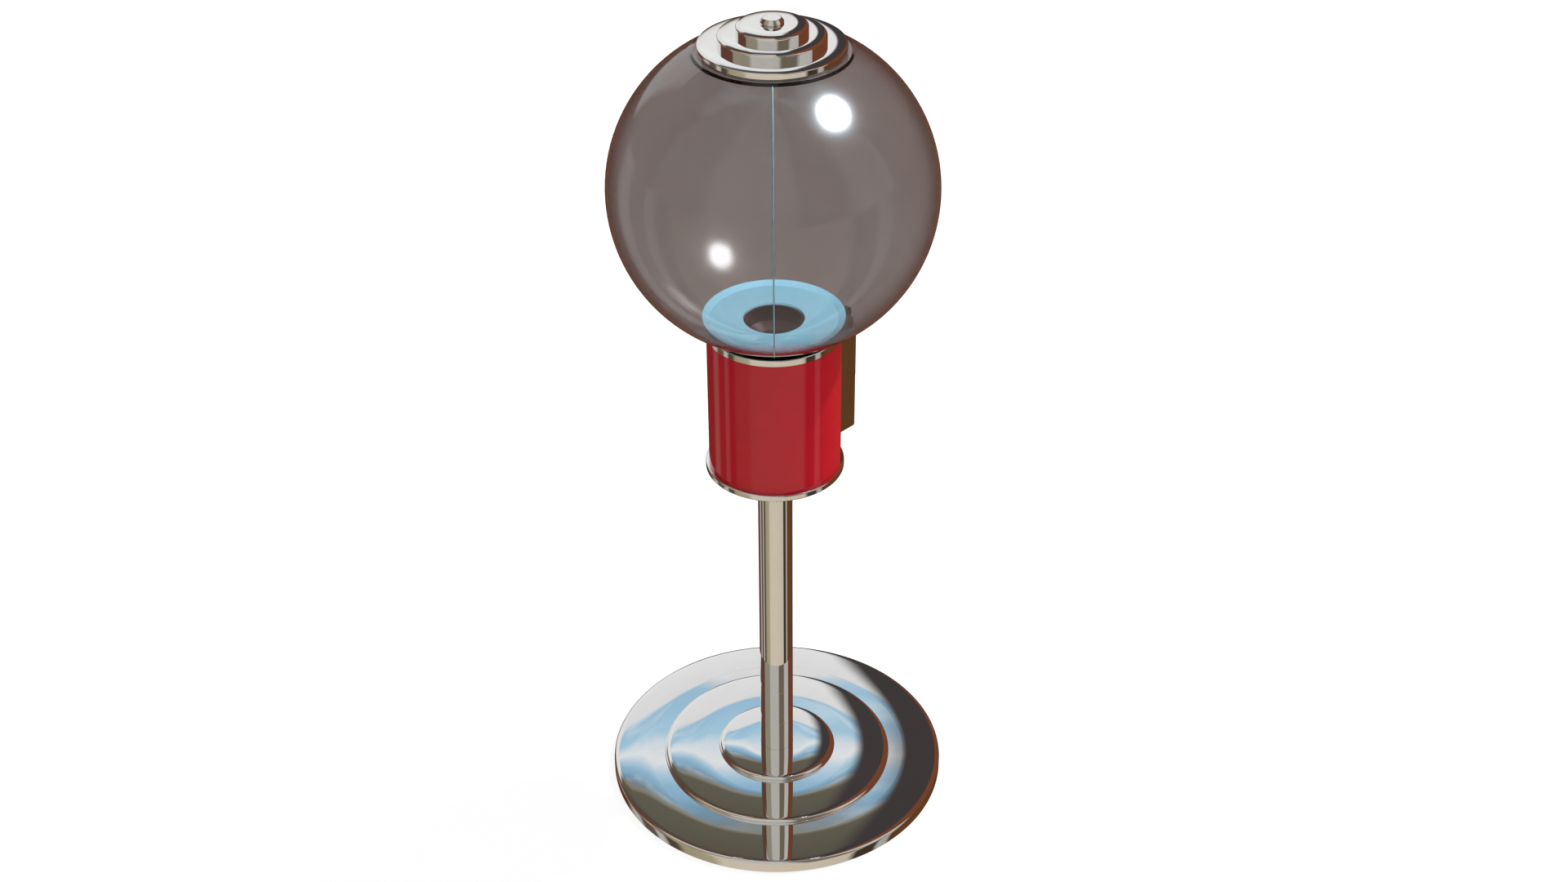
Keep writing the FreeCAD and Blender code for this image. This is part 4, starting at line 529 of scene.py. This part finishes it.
# What stands all round below the horizon, by degrees of turn from straight behind, right positive.
PANELS = [
    # brown wall on the left
    (-180, (0.10, 0.035, 0.018)), (-130, (0.12, 0.04, 0.02)),
    # two pale posts, with dark gaps beside them
    (-121, (0.44, 0.40, 0.36)), (-113, (0.48, 0.45, 0.41)), (-108, (0.11, 0.085, 0.06)), (-95, (0.12, 0.095, 0.07)),
    (-92, (0.52, 0.50, 0.45)), (-86, (0.48, 0.46, 0.40)), (-82, (0.07, 0.055, 0.035)), (-74, (0.09, 0.07, 0.045)),
    # olive panel, and cream floor
    (-68, (0.36, 0.31, 0.19)), (-45, (0.42, 0.37, 0.25)),
    (-38, (0.64, 0.57, 0.46)), (0, (0.66, 0.58, 0.46)), (50, (0.60, 0.53, 0.42)),
    # dark gap and pale post on the right, and brown wall
    (56, (0.05, 0.035, 0.02)), (71, (0.06, 0.04, 0.022)), (75, (0.48, 0.46, 0.42)), (82, (0.42, 0.40, 0.36)),
    (86, (0.10, 0.045, 0.016)), (100, (0.13, 0.055, 0.018)), (130, (0.13, 0.05, 0.02)), (180, (0.10, 0.035, 0.018)),
]

# What stands behind above the horizon, by the same turn: brown wall, olive, grey, dark and grey screens, brown wall.
SCREENS = [
    (-180, (0.10, 0.045, 0.025)), (-104, (0.13, 0.11, 0.085)),
    (-90, (0.33, 0.30, 0.23)), (-50, (0.33, 0.30, 0.23)),
    (-42, (0.55, 0.54, 0.51)), (12, (0.55, 0.54, 0.51)),
    (20, (0.18, 0.15, 0.11)), (50, (0.18, 0.15, 0.11)),
    (60, (0.58, 0.57, 0.55)), (108, (0.52, 0.51, 0.49)),
    (126, (0.11, 0.065, 0.04)), (180, (0.10, 0.045, 0.025)),
]

# Thin cloud over the panes: where it begins and ends in radians of pitch, how thick it gets, and its share.
CLOUD_STRETCH = (14, 14, 70)
CLOUD_DRIFT = 0.012
CLOUD_FOOT = (0.690, 0.700)
CLOUD_HEAD = (0.770, 0.755)
CLOUD_THICKNESS = (0.5, 0.72)
CLOUD_SHARE = 0.5
CLOUD_WHITE = (0.72, 0.84, 0.90)

# A blind on the left, then the walls at the sides, each with the two places across the room where it fades in.
BLIND_EDGE = (-0.15, -0.25)
BLIND_HEAD = (0.80, 0.75)
BLIND_WHITE = (0.84, 0.84, 0.83)
SIDE_WALLS = [
    ((-0.60, -0.70), (0.14, 0.06, 0.04)),
    ((0.040, 0.068), (0.055, 0.046, 0.047)),
    ((0.18, 0.28), (0.19, 0.062, 0.03)),
]
BEHIND_TO_AHEAD = (-0.06, 0.04)
BELOW_TO_ABOVE = (-0.02, 0.03)


def room():
    world = bpy.data.worlds.new("room")
    bpy.context.scene.world = world
    world.use_nodes = True
    tree = world.node_tree
    tree.nodes.remove(tree.nodes["Background"])

    def math_node(operation, first, second=0.0, third=0.0):
        return add(tree, "ShaderNodeMath", [(0, first), (1, second), (2, third)], operation=operation).outputs["Value"]

    def along(direction):
        return add(tree, "ShaderNodeVectorMath", [(0, toward), (1, direction)],
                   operation="DOT_PRODUCT").outputs["Value"]

    def between(value, low, high):
        return add(tree, "ShaderNodeMapRange", [("Value", value), ("From Min", low), ("From Max", high)],
                   interpolation_type="SMOOTHSTEP").outputs["Result"]

    def blend(factor, under, over):
        node = add(tree, "ShaderNodeMix", [("Factor", factor)], data_type="RGBA")
        for index, colour in ((6, under), (7, over)):
            if isinstance(colour, bpy.types.NodeSocket):
                tree.links.new(colour, node.inputs[index])
            else:
                node.inputs[index].default_value = (*colour, 1)
        return node.outputs[2]

    def all_round(stops):
        return ramp(tree, turn, [(angle / 360 + 0.5, colour) for angle, colour in stops])

    toward = add(tree, "ShaderNodeTexCoord").outputs["Generated"]
    ahead = along(AWAY)
    across = along(RIGHT)
    up = add(tree, "ShaderNodeSeparateXYZ", [("Vector", toward)]).outputs["Z"]
    streaks = add(tree, "ShaderNodeMapping", [("Vector", toward), ("Scale", CLOUD_STRETCH)]).outputs["Vector"]
    cloud = add(tree, "ShaderNodeTexNoise", [("Vector", streaks), ("Scale", 1), ("Detail", 3)]).outputs["Fac"]

    pitch = math_node("ARCTAN2", up, ahead)
    pitch = math_node("MULTIPLY_ADD", cloud, CLOUD_DRIFT, math_node("SUBTRACT", pitch, CLOUD_DRIFT / 2))
    high = ramp(tree, math_node("DIVIDE", pitch, math.pi / 2), [(angle / 90, colour) for angle, colour in WINDOWS])
    haze = math_node("MULTIPLY", between(cloud, *CLOUD_THICKNESS), between(pitch, *CLOUD_HEAD))
    haze = math_node("MULTIPLY", haze, between(pitch, *CLOUD_FOOT))
    high = blend(math_node("MULTIPLY", haze, CLOUD_SHARE), high, CLOUD_WHITE)
    blind = math_node("MULTIPLY", between(across, *BLIND_EDGE), between(pitch, *BLIND_HEAD))
    high = blend(blind, high, BLIND_WHITE)
    for edge, colour in SIDE_WALLS:
        high = blend(between(across, *edge), high, colour)

    turn = math_node("ARCTAN2", across, math_node("MULTIPLY", ahead, -1))
    turn = math_node("MULTIPLY_ADD", turn, 0.5 / math.pi, 0.5)
    low = all_round(PANELS)
    high = blend(between(ahead, *BEHIND_TO_AHEAD), all_round(SCREENS), high)
    seen = blend(between(up, *BELOW_TO_ABOVE), low, high)

    mirror = add(tree, "ShaderNodeBackground", [("Color", seen), ("Strength", 1.0)])
    fill = add(tree, "ShaderNodeBackground", [("Color", WHITE), ("Strength", FILL_LIGHT)])
    white = add(tree, "ShaderNodeBackground", [("Color", WHITE), ("Strength", 1.0)])
    light = add(tree, "ShaderNodeLightPath")
    through = math_node("MAXIMUM", light.outputs["Is Camera Ray"], light.outputs["Is Transmission Ray"])
    indirect = add(tree, "ShaderNodeMixShader", [
        ("Fac", light.outputs["Is Glossy Ray"]), (1, fill.outputs["Background"]), (2, mirror.outputs["Background"])])
    final = add(tree, "ShaderNodeMixShader", [
        ("Fac", through), (1, indirect.outputs["Shader"]), (2, white.outputs["Background"])])
    tree.links.new(final.outputs["Shader"], tree.nodes["World Output"].inputs["Surface"])


room()


# Lamps: a large round one high up to the right lights the globe alone, and shows in it as two bright spots.
# A small hard one and a wide soft one light the painted, rubber and plastic pieces, and one more the hopper
# plate. None reaches the polished metal, so that only the room shows in it.
def lamp(name, direction, distance, size, watts, lit, shows=True, colour=(1, 1, 1)):
    """An oval lamp aimed at the globe's middle, which lights only these pieces."""
    data = bpy.data.lights.new(name, "AREA")
    data.shape = "ELLIPSE"
    data.size, data.size_y = size
    data.energy = watts
    data.color = colour
    item = bpy.data.objects.new(name, data)
    bpy.context.scene.collection.objects.link(item)
    toward = Vector(direction).normalized()
    item.location = Vector(GLOBE_MIDDLE) + toward * distance
    item.rotation_euler = toward.to_track_quat("Z", "Y").to_euler()
    item.visible_glossy = item.visible_transmission = shows
    lights = bpy.data.collections.new(name + "_lights")
    for piece in lit:
        lights.objects.link(piece)
    item.light_linking.receiver_collection = lights


clear = [nodes["globe_front"], nodes["globe_back"]]
others = [piece for piece in bpy.context.scene.objects
          if piece.type == "MESH" and piece not in clear and chrome not in piece.data.materials[:]]
lamp("globe_spot", direction=(-0.438, -0.374, 0.817), distance=2.53, size=(0.88, 0.70), watts=1600, lit=clear,
     colour=(0.78, 0.91, 1.0))
lamp("side_lamp", direction=(-0.229, -0.583, 0.780), distance=2.53, size=(0.04, 0.04), watts=95, lit=others)
lamp("plate_lamp", direction=(-0.60, 0.45, 0.66), distance=2.5, size=(0.6, 0.6), watts=360,
     lit=[nodes["hopper_plate"]], shows=False)
lamp("soft_lamp", direction=(-0.9, 0.2, 0.55), distance=2.6, size=(1.6, 1.6), watts=8, lit=others, shows=False)


# Camera: a normal lens behind and to one side of the machine, looking down on it.
# It stands about 1.9 m from the machine's middle, and leans very slightly.
CAMERA_PLACE = (-1.1508, 1.1508, 1.458)
CAMERA_TURN = (56.399, 0.188, -135.414)
camera_data = bpy.data.cameras.new("camera")
camera_data.sensor_width = 36
camera_data.lens = 50
camera = bpy.data.objects.new("camera", camera_data)
bpy.context.scene.collection.objects.link(camera)
camera.location = CAMERA_PLACE
camera.rotation_euler = [math.radians(turn) for turn in CAMERA_TURN]
bpy.context.scene.camera = camera
bpy.context.scene.view_settings.view_transform = "Standard"
